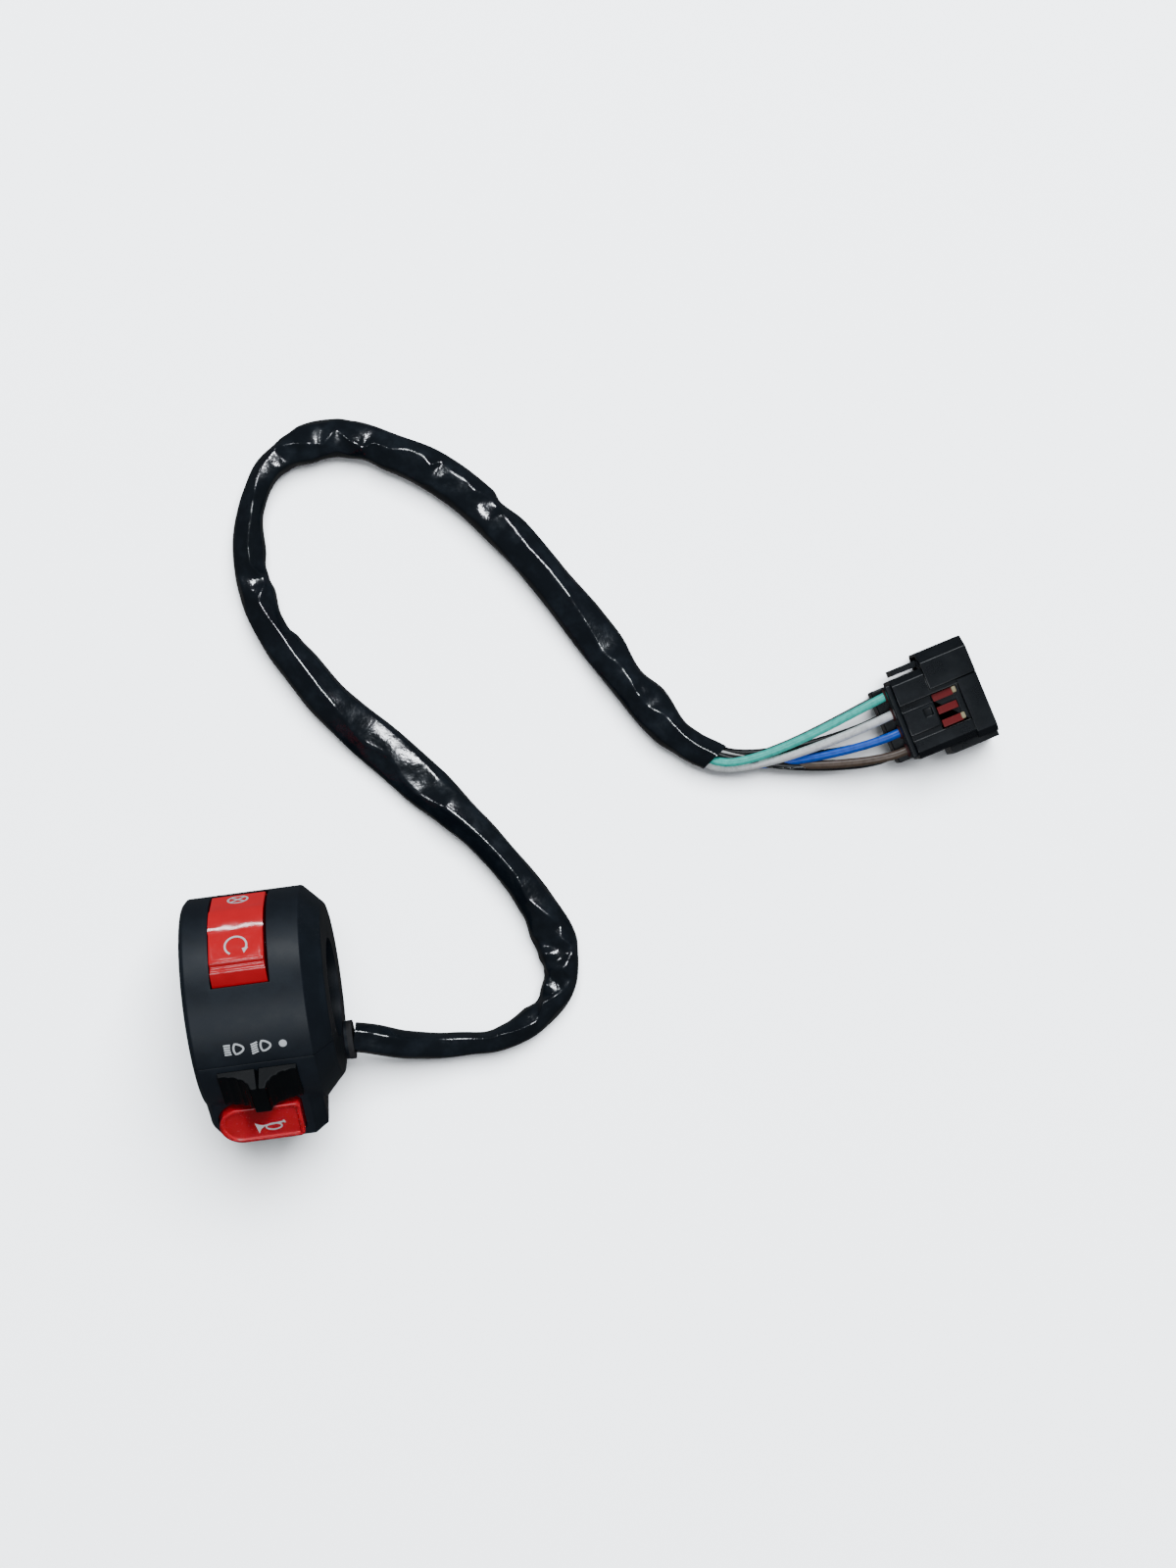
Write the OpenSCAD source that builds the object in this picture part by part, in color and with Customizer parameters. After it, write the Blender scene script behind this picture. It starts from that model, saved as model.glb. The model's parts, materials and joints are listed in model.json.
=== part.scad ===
// Handlebar switch cluster: a two-part round housing that clamps on a bar, with a red
// run and stop rocker, a three-position headlamp slider, a red horn button, a sleeved
// harness and a sealed eight-way plug.
// X runs along the bar, Z is up, the origin is the centre of the bar bore.
// The angle "phi" of a feature is measured about the bar, from +Z towards -Y.

/* [Handlebar and housing] */
// Radius of the bar bore, for a 22.2 mm bar
bar_r = 11.1; // [10.8:0.1:11.3]
// Depth of the housing, from the bar to the outside
housing_depth = 12.4; // [12.1:0.1:13.4]
// Length of the housing along the bar
housing_l = 30.5; // [30:0.5:34]
// Wall of both shells
shell_wall = 2; // [1.6:0.1:2.2]
// Wall of the half-round saddle that grips the bar
saddle_wall = 1.8; // [1.5:0.1:1.9]
// Length of the slope at the right end, along the bar
slope_l = 4.25; // [3:0.25:5]
// How far the slope drops towards the bar
slope_drop = 4.4; // [3:0.2:5]
// Chamfer round the left end
end_edge = 1; // [0.5:0.1:1.5]

/* [Clamp screws] */
// Radius of the screw thread
screw_r = 2; // [1.5:0.1:2.2]
// Radius of the screw head
screw_head_r = 3.4; // [3:0.1:3.6]
// Height of the screw head
screw_head_h = 2.4; // [1.8:0.2:3]
// Length of thread in each shell
screw_reach = 9; // [7:0.5:10]
// Spacing of the two screws along the bar
screw_pitch = 16; // [14:0.5:17]

/* [Rocker] */
// Width of the rocker along the bar
rocker_w = 12; // [10:0.5:12.5]
// Radius from the pivot to the skirt of the rocker
rocker_skirt_r = 13.3; // [12.8:0.1:13.4]
// Half length of the two thumb faces together
rocker_half = 11.5; // [10.5:0.25:11.75]
// How far the ridge stands out of the housing
rocker_proud = 1.9; // [1.2:0.1:2.3]
// Slope of each thumb face
rocker_face_deg = 15.5; // [12:0.5:18]
// Tilt at rest, with the stop side pressed in
rocker_tilt = 8; // [5:0.5:9]
// Radius of the pivot pin
rocker_pin_r = 0.9; // [0.7:0.1:1.1]

/* [Headlamp slider] */
// Width of the slider cap along the bar
slider_cap_w = 17.3; // [15:0.1:18]
// Half depth of the slider cap round the bar
slider_half = 5.2; // [4.6:0.1:5.4]
// How far the stem stands out of the housing
slider_stem_h = 4.5; // [3.5:0.1:6]
// Width of the stem
slider_stem_w = 3.5; // [3:0.1:5]
// Thickness of the cap at its ends
slider_lip_h = 0.8; // [0.6:0.1:1.2]
// Travel each way from the middle position
slider_travel = 4.5; // [3.5:0.1:4.6]

/* [Horn button] */
// Width of the horn button along the bar
horn_w = 18.4; // [16:0.2:18.6]
// Height of the horn button
horn_h = 10; // [9:0.2:10.2]
// How far the horn face stands out of its rim
horn_proud = 2.2; // [2.1:0.1:3]
// Travel of the horn button
horn_travel = 2; // [1.2:0.1:2]
// Wall round the horn well
pod_wall = 1.2; // [1:0.1:1.4]

/* [Harness] */
// Radius of the plastic sleeve
sleeve_r = 4.4; // [4:0.1:4.6]
// Radius of one wire
wire_r = 1; // [0.8:0.05:1.05]

/* [Plug] */
// Length of the plug body
plug_l = 18.8; // [18:0.2:22]
// Width of the plug, over the skirt and the hood of the latch
plug_w = 24.4; // [24:0.1:27.4]
// Height of the plug body
plug_h = 15; // [14:0.5:18]
// Spacing of the wires across the plug
wire_pitch = 4.4; // [3.8:0.1:4.6]
// Wall of the plug
plug_wall = 1.6; // [1.2:0.1:2]

/* [Hidden] */
$fn = 64;
// One overrun serves every cut
over = 0.5;
// Running clearance of pins, clearance between sliding pieces, and seat of a fixed piece
pin_gap = 0.05;
slide_gap = 0.3;
seat_gap = 0.2;

// Housing, worked out from its driving sizes
parting_phi = 33;
saddle_r = bar_r + saddle_wall;
housing_r = bar_r + housing_depth;
cavity_r = housing_r - shell_wall;
end_x = housing_l / 2;
slope_x = end_x - slope_l;
slope_end_r = housing_r - slope_drop;
slope_run = sqrt(slope_l * slope_l + slope_drop * slope_drop);
slope_nx_share = slope_drop / slope_run;
slope_nr_share = slope_l / slope_run;
// Distance of the inner face of the slope from the origin, along its normal
slope_in = slope_nx_share * slope_x + slope_nr_share * housing_r - shell_wall;
cavity_x = end_x - shell_wall;
cavity_slope_x = (slope_in - slope_nr_share * cavity_r) / slope_nx_share;
cavity_end_r = (slope_in - slope_nx_share * cavity_x) / slope_nr_share;
big = housing_r * 4;

// Clamp screws stand on the parting face, on the side away from the slider
boss_r = 3.3;
insert_r = 2.8;
insert_l = 6;
screw_inset = 4.5;
screw_y = cavity_r - screw_inset;
screw_mid_x = -1;
// Tongues that line the shells up on the slider side
tongue_w = 2.2;
tongue_t = 1.2;
tongue_l = 2.4;

// Rocker
rocker_phi = -46;
rocker_x = -2.35;
rocker_pivot_h = 3.6;
rocker_pivot_r = saddle_r + rocker_pivot_h;
rocker_ridge_h = housing_r + rocker_proud - rocker_pivot_r;
rocker_slot_gap = 0.5;
rocker_side_gap = 0.35;
rocker_bottom = 1.6;
rocker_lip_h = 1.2;
rocker_wall = 1.6;
hub_wall = 1.2;
hub_r = rocker_pin_r + hub_wall;
ear_t = 1.6;
ear_half = 4.2;
ear_top = 2;
rocker_half_w = rocker_w / 2;
ear_in = rocker_half_w + rocker_side_gap;
rocker_base_t = 1;
rocker_base_r = saddle_r + seat_gap;
rocker_base_half = 11.2;
rocker_base_w = 11.4;
contact_t = 0.4;
rocker_contact_y = 8.2;
rocker_contact_w = 2.4;
rocker_contact_x = 3;
rocker_contact_t = 1;
rocker_bridge_w = 2;
rocker_ball_r = 0.8;
ball_show = 0.3;
spring_share = 0.6;
spring_wire_share = 0.17;
coil_steps = 8;
coil_sides = 6;
groove_d = 0.45;
rocker_ball_y = 5.6;
rocker_spring_turns = 5;

// Headlamp slider
dip_phi = 49;
dip_x = -1.7;
neck_half = 1.8;
neck_depth_half = 2.7;
foot_half = 4;
foot_depth_half = 4.4;
foot_t = 1.5;
cap_gap = 0.25;
foot_gap = 0.3;
carriage_half = 3.6;
carriage_depth_half = 4.4;
dip_base_t = 1.4;
dip_base_z = saddle_r + seat_gap;
dip_base_top = dip_base_z + dip_base_t;
dip_base_half = 9;
dip_base_depth_half = 6.4;
rail_gap = 0.2;
rail_short = 1.8;
contact_gap = 0.1;
dip_foot_z = cavity_r - foot_gap - foot_t;
rail_h = dip_foot_z - dip_base_top - rail_short;
dip_bridge_z = dip_base_top + contact_t + contact_gap;
dip_carriage_z = dip_bridge_z + contact_t;
dip_ball_r = 0.85;
dip_ball_h = 1.9;
dip_ball_z = dip_base_top + dip_ball_h;
dip_ball_y = carriage_depth_half + rail_gap + ball_show / 2 - pin_gap;
dip_spring_turns = 3;
cap_steps = 8;
cap_rib_n = 3;
cap_groove_share = 0.7;

// Horn button, in a frame that is turned to face the thumb
horn_phi = 38;
horn_out = 4.2;
horn_y = -saddle_r - horn_out;
horn_left_x = -12.9;
horn_face_in = 0.9;
horn_face_z = housing_r - horn_face_in;
horn_corner_r = 1.5;
horn_dish = 0.5;
horn_rim = 1.1;
horn_skin = 1.4;
horn_skirt = 1.2;
horn_flange = 0.5;
horn_flange_t = 1.2;
rim_z = horn_face_z - horn_proud;
rim_t = 1.6;
well_top = rim_z - rim_t;
flange_top = well_top - seat_gap;
flange_z = flange_top - horn_flange_t;
well_z = 9.6;
well_gap = 0.3;
horn_half = horn_h / 2;
horn_right_x = horn_left_x + horn_w;
horn_mid_x = (horn_left_x + horn_right_x) / 2;
horn_base_t = 1.4;
horn_base_z = well_z + seat_gap;
horn_base_top = horn_base_z + horn_base_t;
horn_post_r = 1.3;
horn_spring_r = 2.1;
horn_spring_wire = 0.3;
horn_spring_turns = 6;
horn_bridge_w = 1.2;
horn_bridge_reach = 5;
pod_left_low = -15;
pod_left_high = -13.9;
pod_right_low = 10.2;
pod_right_high = 7.4;
pod_low_z = 7.6;
pod_in_y = horn_y + horn_half + well_gap + pod_wall;
pod_out_y = horn_y - horn_half - well_gap - horn_flange - pod_wall + seat_gap;

// Cable outlet
outlet_phi = 132;
outlet_r = (saddle_r + cavity_r) / 2 + seat_gap;
outlet_boss_r = (cavity_r - saddle_r) / 2;
outlet_boss_l = 7.3;
outlet_boss_out = 0.65;
outlet_boss_wall = 1;
outlet_hole_r = outlet_boss_r - outlet_boss_wall;
outlet_x = end_x + outlet_boss_out;
outlet_in_x = end_x - outlet_boss_l;
grommet_flange_r = outlet_boss_r - slide_gap;
grommet_flange_t = 1.4;
grommet_collar_t = 1.2;
grommet_wall = 1.1;
grommet_bore_r = outlet_hole_r - grommet_wall;
sleeve_x = outlet_x + grommet_collar_t;
outlet_y = -outlet_r * sin(outlet_phi);
outlet_z = outlet_r * cos(outlet_phi);

// The harness lies on the table; its route is chosen by hand
table_z = -housing_r;
lie_z = table_z + sleeve_r;
ROUTE = [[22, -14], [28, -16], [35, -17.5], [42, -18], [50, -18], [58.5, -14], [64.5, -6.5],
    [65.5, 2.5], [61.5, 12], [55.5, 22.5], [48.5, 32], [41.5, 40], [33.5, 49.5], [25.5, 58.5],
    [18, 68], [11.5, 78.5], [7.5, 90.5], [7.5, 103], [11.5, 114], [20, 121], [31, 122.5],
    [42.5, 118.5], [52.5, 111.5], [61, 103], [68.5, 93.5], [75, 83.5], [81, 73.5], [87, 63],
    [93.5, 53], [100.5, 44], [106.5, 39.5]];
ROUTE_DROP_SHARE = [0.93, 0.62, 0.24, 0.04];
sleeve_sides = 12;
wire_sides = 8;
wire_rings = 7;
wire_ring_r = 3.1;
wire_ring_n = 7;
wire_ring_turn = 13;
wire_lead = 34;

// The plug lies on the table beyond the wires
plug_x = 158.7;
plug_y = 44.65;
plug_turn = 15;
plug_rows = 4;
row_pitch = 5;
plug_half = plug_l / 2;
plug_mid_h = plug_h / 2;
rear_cover_t = 4.2;
rear_inset = 0.8;
rear_x = -plug_half - rear_cover_t;
seal_l = 4;
seal_wall = 0.55;
socket_depth = 9;
socket_x = plug_half - socket_depth;
plug_edge = 1.5;

// Collar round the mouth, with a skirt down one side, and a hood over the latch down the other
collar_l = 4.8;
collar_out = 0.6;
skirt_l = 11.4;
skirt_out = 1.8;
skirt_z0 = 1;
skirt_z1 = 12;
hood_l = 11.1;
hood_in = 4.3;
hood_up = 0.8;
hood_out = 3.6;
hood_edge = 2.6;
hood_foot = 1;
hood_wall = 0.75;
body_w = plug_w - skirt_out - hood_out;

// Channel in the top of the plug, with a vented panel and the lock in it
channel_y0 = -5.4;
channel_y1 = 3.2;
channel_d = 1;
panel_l = 7.2;
panel_y0 = -4;
panel_y1 = 1.5;
panel_d = 0.4;
vent_w = 1.9;
vent_x = -3.8;
vent_y = -0.35;
vent_d = 1.2;
lock_w = 7.9;
lock_l = 4.8;
lock_t = 1;
lock_x = 0.6;
lock_y = -0.95;
lock_sink = 0.4;
lock_z = plug_h - channel_d - lock_sink;
lock_bar_w = 1.7;
lock_pitch = (lock_w - lock_bar_w) / 2;
lock_groove_d = 0.6;
socket_top = plug_h - channel_d - plug_wall;

// Latch lever under the hood
latch_l = 15;
latch_w = 6;
latch_t = 1.4;
latch_lift = 1.3;
latch_pin_r = 0.8;
latch_x = -0.6;
latch_bow = 0.4;
latch_seat = 0.2;
latch_tab_l = 5.5;
latch_pin_y = body_w / 2 + latch_lift - latch_bow;
ear_w = 1.4;
latch_room = latch_w / 2 + ear_w + slide_gap + seat_gap;
terminal_w = 1.6;
terminal_room_share = 0.75;
face_seal_t = 1;

// Turns a feature drawn on +Z round the bar to the angle a
module around(a) {
    rotate([a, 0, 0])
        children();
}

// A cylinder along the bar, from x0 to x1
module rod(r, x0, x1) {
    translate([x0, 0, 0])
        rotate([0, 90, 0])
            cylinder(r = r, h = x1 - x0);
}

// A box given by its low and high corners
module block(low, high) {
    translate(low)
        cube(high - low);
}

// A prism along X of an outline in Y and Z
module prism_x(points, x0, x1) {
    translate([x0, 0, 0])
        rotate([90, 0, 90])
            linear_extrude(height = x1 - x0)
                polygon(points);
}

// A prism along Y of an outline in X and Z
module prism_y(points, y0, y1) {
    translate([0, y1, 0])
        rotate([90, 0, 0])
            linear_extrude(height = y1 - y0)
                polygon(points);
}

// A wound wire of n turns from z0 to z1, as one unbroken tube
function coil_point(r, z0, z1, n, a) = [r * cos(a), r * sin(a), z0 + (z1 - z0) * a / (n * 360)];
function coil_points(r, z0, z1, n) =
    [for (i = [0 : n * coil_steps]) coil_point(r, z0, z1, n, i * 360 / coil_steps)];
function coil_gap(p, w) =
    min([for (i = [0 : len(p) - coil_steps], j = [i + coil_steps / 2 + 1 : len(p) - 1])
        norm(p[i] - p[j])]) - 2 * w;

module coil(r, w, z0, z1, n) {
    p = coil_points(r, z0 + w, z1 - w, n);
    echo(least_gap_mm = coil_gap(p, w));
    sweep_tube(p, w, coil_sides, [0, 1, 0], [0, 1, 0]);
}

// A tube along points; its first and last rings stand square to the given directions
function unit(v) = v / norm(v);
function tube_dir(p, i, d0, d1) =
    i == 0 ? unit(d0) : i == len(p) - 1 ? unit(d1) : unit(p[i + 1] - p[i - 1]);
function tube_ring(c, d, r, n) =
    let (side = unit(cross(d, [0, 0, 1])), up = cross(side, d))
    [for (k = [0 : n - 1]) c + r * (cos(k * 360 / n) * side - sin(k * 360 / n) * up)];

module sweep_tube(p, r, n, d0, d1) {
    last = len(p) - 1;
    rings = [for (i = [0 : last]) tube_ring(p[i], tube_dir(p, i, d0, d1), r, n)];
    walls = [for (i = [0 : last - 1], k = [0 : n - 1], t = [0, 1])
        let (a = i * n + k, b = i * n + (k + 1) % n)
        t == 0 ? [a, b, a + n] : [b, b + n, a + n]];
    caps = concat([for (k = [1 : n - 2]) [0, k + 1, k]],
        [for (k = [1 : n - 2]) [last * n, last * n + k, last * n + k + 1]]);
    polyhedron(points = [for (ring = rings, q = ring) q], faces = concat(walls, caps));
}

// Both shells before they are cut apart: a closed drum with a saddle round the bar
module drum() {
    rotate([0, 90, 0])
        rotate_extrude()
            polygon([[bar_r, -end_x], [housing_r - end_edge, -end_x], [housing_r, -end_x + end_edge],
                [housing_r, slope_x], [slope_end_r, end_x], [bar_r, end_x]]);
}

module drum_cavity() {
    rotate([0, 90, 0])
        rotate_extrude()
            polygon([[saddle_r, -cavity_x], [cavity_r, -cavity_x], [cavity_r, cavity_slope_x],
                [cavity_end_r, cavity_x], [saddle_r, cavity_x]]);
}

// Everything above the parting face (side 1) or below it (side -1)
module half_space(side) {
    around(parting_phi - 90)
        translate([-big / 2, -big / 2, side > 0 ? 0 : -big])
            cube(big);
}

// The places of the two clamp screws, in the frame of the parting face
module at_screws() {
    around(parting_phi - 90)
        for (side = [-1, 1])
            translate([screw_mid_x + side * screw_pitch / 2, screw_y, 0])
                children();
}

module upper_shell() {
    color("#22262b")
        difference() {
            intersection() {
                union() {
                    difference() {
                        drum();
                        drum_cavity();
                    }
                    intersection() {
                        drum();
                        union() {
                            at_screws()
                                cylinder(r = boss_r, h = screw_reach + over);
                            rocker_ears();
                        }
                    }
                }
                half_space(1);
            }
            at_screws() {
                translate([0, 0, -over])
                    cylinder(r = insert_r, h = insert_l + over);
                cylinder(r = screw_r + pin_gap, h = screw_reach + seat_gap);
            }
            rod(bar_r, -big, big);
            rocker_slot();
            around(rocker_phi)
                translate([rocker_x, 0, rocker_pivot_r]) {
                    rod(rocker_pin_r, -ear_in - ear_t, ear_in + ear_t);
                    difference() {
                        rod(rocker_ball_y + rocker_ball_r + seat_gap, ear_in - over, ear_in + groove_d);
                        rod(rocker_ball_y - rocker_ball_r - seat_gap, ear_in - over - over, big);
                    }
                }
        }
}

// The slot that the rocker stands in, concentric with its pivot
module rocker_slot() {
    around(rocker_phi)
        intersection() {
            translate([rocker_x, 0, rocker_pivot_r])
                rod(rocker_skirt_r + rocker_slot_gap, -ear_in, ear_in);
            block([-big, -big, saddle_r + rocker_base_t], [big, big, big]);
        }
}

// Two ears hang from the roof of the upper shell and hold the pivot pin
module rocker_ears() {
    around(rocker_phi)
        for (side = [-1, 1])
            translate([rocker_x + side * (ear_in + ear_t / 2) - ear_t / 2, -ear_half,
                    rocker_pivot_r - ear_top])
                cube([ear_t, 2 * ear_half, big]);
}

module lower_shell() {
    color("#1d2024")
        difference() {
            union() {
                intersection() {
                    union() {
                        difference() {
                            union() {
                                drum();
                                pod();
                            }
                            drum_cavity();
                        }
                        intersection() {
                            drum();
                            at_screws()
                                translate([0, 0, -housing_r])
                                    cylinder(r = boss_r + shell_wall / 2, h = housing_r);
                        }
                        outlet_boss();
                    }
                    half_space(-1);
                }
                tongues();
            }
            at_screws() {
                translate([0, 0, -big])
                    cylinder(r = screw_r + pin_gap + seat_gap, h = big + over);
                translate([0, 0, -big])
                    cylinder(r = screw_head_r + seat_gap, h = big - screw_reach);
            }
            rod(bar_r, -big, big);
            horn_well();
            slider_window();
            around(outlet_phi)
                translate([0, 0, outlet_r])
                    rod(outlet_hole_r + pin_gap, outlet_in_x - over, outlet_x + over);
        }
}

// The pod that carries the horn button: flat rim, tapered ends, sloping underside
module pod() {
    difference() {
        around(horn_phi)
            intersection() {
                prism_x([[pod_in_y, 0], [pod_in_y, rim_z], [pod_out_y, rim_z], [pod_out_y, pod_low_z],
                    [horn_y - horn_half, 0]], -big, big);
                prism_y([[pod_left_low, 0], [pod_left_low, well_top], [pod_left_high, rim_z],
                    [pod_right_high, rim_z], [pod_right_low, well_top - pod_wall], [pod_right_low, 0]],
                    -big, big);
            }
        rod(saddle_r, -big, big);
    }
}

// Outline of the horn button grown by g: round at the left, small corners at the right
module horn_outline(g, h) {
    r = horn_half + g;
    c = horn_corner_r + g;
    translate([horn_left_x + horn_half, horn_y, 0])
        cylinder(r = r, h = h);
    translate([horn_left_x + horn_half, horn_y - r, 0])
        cube([horn_w - horn_half - horn_corner_r, 2 * r, h]);
    translate([horn_left_x + horn_half, horn_y - horn_half + horn_corner_r, 0])
        cube([horn_w - horn_half + g, 2 * (horn_half - horn_corner_r), h]);
    for (side = [-1, 1])
        translate([horn_right_x - horn_corner_r, horn_y + side * (horn_half - horn_corner_r), 0])
            cylinder(r = c, h = h);
}

module horn_well() {
    around(horn_phi) {
        translate([0, 0, well_z])
            horn_outline(well_gap + horn_flange, well_top - well_z);
        translate([0, 0, well_z])
            horn_outline(well_gap, big);
    }
}

module slider_window() {
    reach = neck_half + slider_travel + slide_gap;
    around(dip_phi)
        block([dip_x - reach, -neck_depth_half - slide_gap, cavity_r - foot_t - foot_gap - over],
            [dip_x + reach, neck_depth_half + slide_gap, big]);
}

// Flat tongues on the lower shell that reach inside the upper one
module tongues() {
    low_z = cavity_r - seat_gap - tongue_t;
    high_z = sqrt(pow(cavity_r - seat_gap, 2) - pow(tongue_l, 2));
    around(parting_phi)
        for (x = [seat_gap - cavity_x, cavity_slope_x - tongue_w - seat_gap]) {
            block([x, -tongue_l, low_z], [x + tongue_w, tongue_l, high_z]);
            block([x, -tongue_l, low_z], [x + tongue_w, 0, cavity_r + over]);
        }
}

module outlet_boss() {
    around(outlet_phi)
        translate([0, 0, outlet_r])
            intersection() {
                rod(outlet_boss_r, outlet_in_x, outlet_x);
                translate([0, 0, -outlet_r])
                    difference() {
                        rod(housing_r, outlet_in_x - over, outlet_x + over);
                        rod(saddle_r, outlet_in_x - over, outlet_x + over + over);
                    }
            }
}

module clamp_screws() {
    color("#b9bcc0")
        at_screws()
            difference() {
                union() {
                    translate([0, 0, -screw_reach])
                        cylinder(r = screw_r, h = 2 * screw_reach);
                    translate([0, 0, -screw_reach - screw_head_h])
                        cylinder(r = screw_head_r, h = screw_head_h);
                }
                for (a = [0, 90])
                    rotate([0, 0, a])
                        translate([-screw_head_r / 2, -screw_r / 5, -screw_reach - screw_head_h - over])
                            cube([screw_head_r, 2 * screw_r / 5, screw_head_h / 2 + over]);
            }
}

module thread_inserts() {
    color("#c9a24a")
        at_screws()
            difference() {
                translate([0, 0, pin_gap])
                    cylinder(r = insert_r - pin_gap, h = insert_l - 2 * pin_gap);
                translate([0, 0, -over])
                    cylinder(r = screw_r + pin_gap, h = insert_l + 2 * over);
            }
}

// The frame of the rocker, on its pivot, turned to the tilt that it rests at
module rocker_frame() {
    around(rocker_phi)
        translate([rocker_x, 0, rocker_pivot_r])
            rotate([-rocker_tilt, 0, 0])
                children();
}

// Outline of the thumb faces, lowered by d and cut off at the half length h
function roof(h, d) = [[-h, -rocker_bottom], [-h, rocker_ridge_h - d - h * tan(rocker_face_deg)],
    [0, rocker_ridge_h - d], [h, rocker_ridge_h - d - h * tan(rocker_face_deg)], [h, -rocker_bottom]];

module rocker_button() {
    color("#d3121f")
        rocker_frame()
            difference() {
                union() {
                    intersection() {
                        rod(rocker_skirt_r, -rocker_half_w, rocker_half_w);
                        prism_x(roof(rocker_skirt_r, rocker_lip_h), -rocker_half_w, rocker_half_w);
                    }
                    prism_x(roof(rocker_half, 0), -rocker_half_w, rocker_half_w);
                }
                difference() {
                    intersection() {
                        rod(rocker_skirt_r - rocker_wall, rocker_wall - rocker_half_w,
                            rocker_half_w - rocker_wall);
                        translate([0, 0, -over])
                            prism_x(roof(rocker_skirt_r, rocker_lip_h + rocker_wall), -big, big);
                    }
                    rod(hub_r, -rocker_half_w, rocker_half_w);
                    block([-rocker_half_w, -rocker_wall, 0], [rocker_half_w, rocker_wall, big]);
                    block([0, rocker_ball_y - hub_r, rocker_ball_r - hub_r],
                        [rocker_half_w, rocker_ball_y + hub_r, hub_r]);
                    rocker_bridge_post();
                }
                rod(rocker_pin_r + pin_gap, -big, big);
                translate([0, rocker_ball_y, 0])
                    rod(rocker_ball_r + pin_gap, over, rocker_half_w + over);
            }
}

// The post inside the rocker that carries its moving contact
module rocker_bridge_post() {
    block([-rocker_bridge_w, -rocker_contact_y - rocker_bridge_w / 2, -over],
        [rocker_bridge_w, -rocker_contact_y + rocker_bridge_w / 2, big]);
}

module rocker_pin() {
    color("#c6c8cb")
        around(rocker_phi)
            translate([rocker_x, 0, rocker_pivot_r])
                rod(rocker_pin_r, -ear_in - ear_t, ear_in + ear_t);
}

module rocker_base() {
    color("#3a3d40")
        around(rocker_phi)
            intersection() {
                difference() {
                    rod(rocker_base_r + rocker_base_t, rocker_x - rocker_base_w / 2,
                        rocker_x + rocker_base_w / 2);
                    rod(rocker_base_r, -big, big);
                }
                block([-big, -rocker_base_half, 0], [big, rocker_base_half, big]);
            }
}

// Brass strip under the run side of the rocker
module rocker_bridge() {
    color("#d8b256")
        rocker_frame()
            translate([0, -rocker_contact_y, -rocker_bottom])
                block([-rocker_bridge_w * 2, -rocker_bridge_w / 2, -contact_t],
                    [rocker_bridge_w * 2, rocker_bridge_w / 2, 0]);
}

// Two fixed contacts that stand on the base under the run side
module rocker_contacts() {
    foot_r = rocker_base_r + rocker_base_t;
    top_z = rocker_pivot_r - (rocker_contact_y + rocker_contact_w / 2) * sin(rocker_tilt)
        - (rocker_bottom + contact_t) * cos(rocker_tilt) - contact_gap;
    color("#c99a3c")
        around(rocker_phi)
            for (side = [-1, 1])
                difference() {
                    translate([rocker_x + side * rocker_contact_x - rocker_contact_t / 2,
                            -rocker_contact_y - rocker_contact_w / 2, 0])
                        cube([rocker_contact_t, rocker_contact_w, top_z]);
                    rod(foot_r, -big, big);
                }
}

module rocker_ball() {
    color("#d5d7d9")
        rocker_frame()
            translate([rocker_half_w + rocker_side_gap + ball_show - rocker_ball_r, rocker_ball_y, 0])
                sphere(r = rocker_ball_r);
}

module rocker_spring() {
    x1 = rocker_half_w + rocker_side_gap + ball_show - 2 * rocker_ball_r;
    color("#9a9ca0")
        rocker_frame()
            translate([0, rocker_ball_y, 0])
                rotate([0, 90, 0])
                    coil(rocker_ball_r * spring_share, rocker_ball_r * spring_wire_share,
                        over + pin_gap, x1, rocker_spring_turns);
}

// Slider cap: a wide lip that sweeps up into a narrow stem
function cap_curve(side) = [for (i = [0 : cap_steps])
    let (a = 90 * i / cap_steps)
    [side * (slider_stem_w / 2 + (slider_cap_w - slider_stem_w) / 2 * (1 - cos(a))),
        housing_r + slider_stem_h - (slider_stem_h - slider_lip_h) * sin(a)]];

module dip_slider() {
    curve = cap_curve(1);
    other = cap_curve(-1);
    back = [for (i = [0 : cap_steps]) other[cap_steps - i]];
    color("#17191c")
        around(dip_phi)
            translate([dip_x, 0, 0]) {
                difference() {
                    prism_y(concat([[-slider_cap_w / 2, 0]], back, curve, [[slider_cap_w / 2, 0]]),
                        -slider_half, slider_half);
                    rod(housing_r + cap_gap, -big, big);
                    slider_grooves();
                }
                block([-neck_half, -neck_depth_half, cavity_r - foot_gap - over],
                    [neck_half, neck_depth_half, housing_r + cap_gap + over]);
                intersection() {
                    rod(cavity_r - foot_gap, -foot_half, foot_half);
                    block([-foot_half, -foot_depth_half, dip_foot_z], [foot_half, foot_depth_half, big]);
                }
            }
}

// Grip grooves cut in both flanks of the cap
module slider_grooves() {
    for (side = [-1, 1], i = [1 : cap_rib_n])
        translate([side * (slider_stem_w / 2 + i * (slider_cap_w - slider_stem_w) / 2 / (cap_rib_n + 1)),
                -slider_half - over, cap_curve(1)[2 + 2 * i][1] + slider_lip_h / 2])
            rotate([-90, 0, 0])
                cylinder(r = slider_lip_h * cap_groove_share, h = 2 * slider_half + 2 * over, $fn = 24);
}

module dip_carriage() {
    color("#e6e3da")
        around(dip_phi)
            translate([dip_x, 0, 0])
                difference() {
                    block([-carriage_half, -carriage_depth_half, dip_carriage_z],
                        [carriage_half, carriage_depth_half, dip_foot_z]);
                    translate([0, over, dip_ball_z])
                        rotate([-90, 0, 0])
                            cylinder(r = dip_ball_r + pin_gap, h = big);
                }
}

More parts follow.
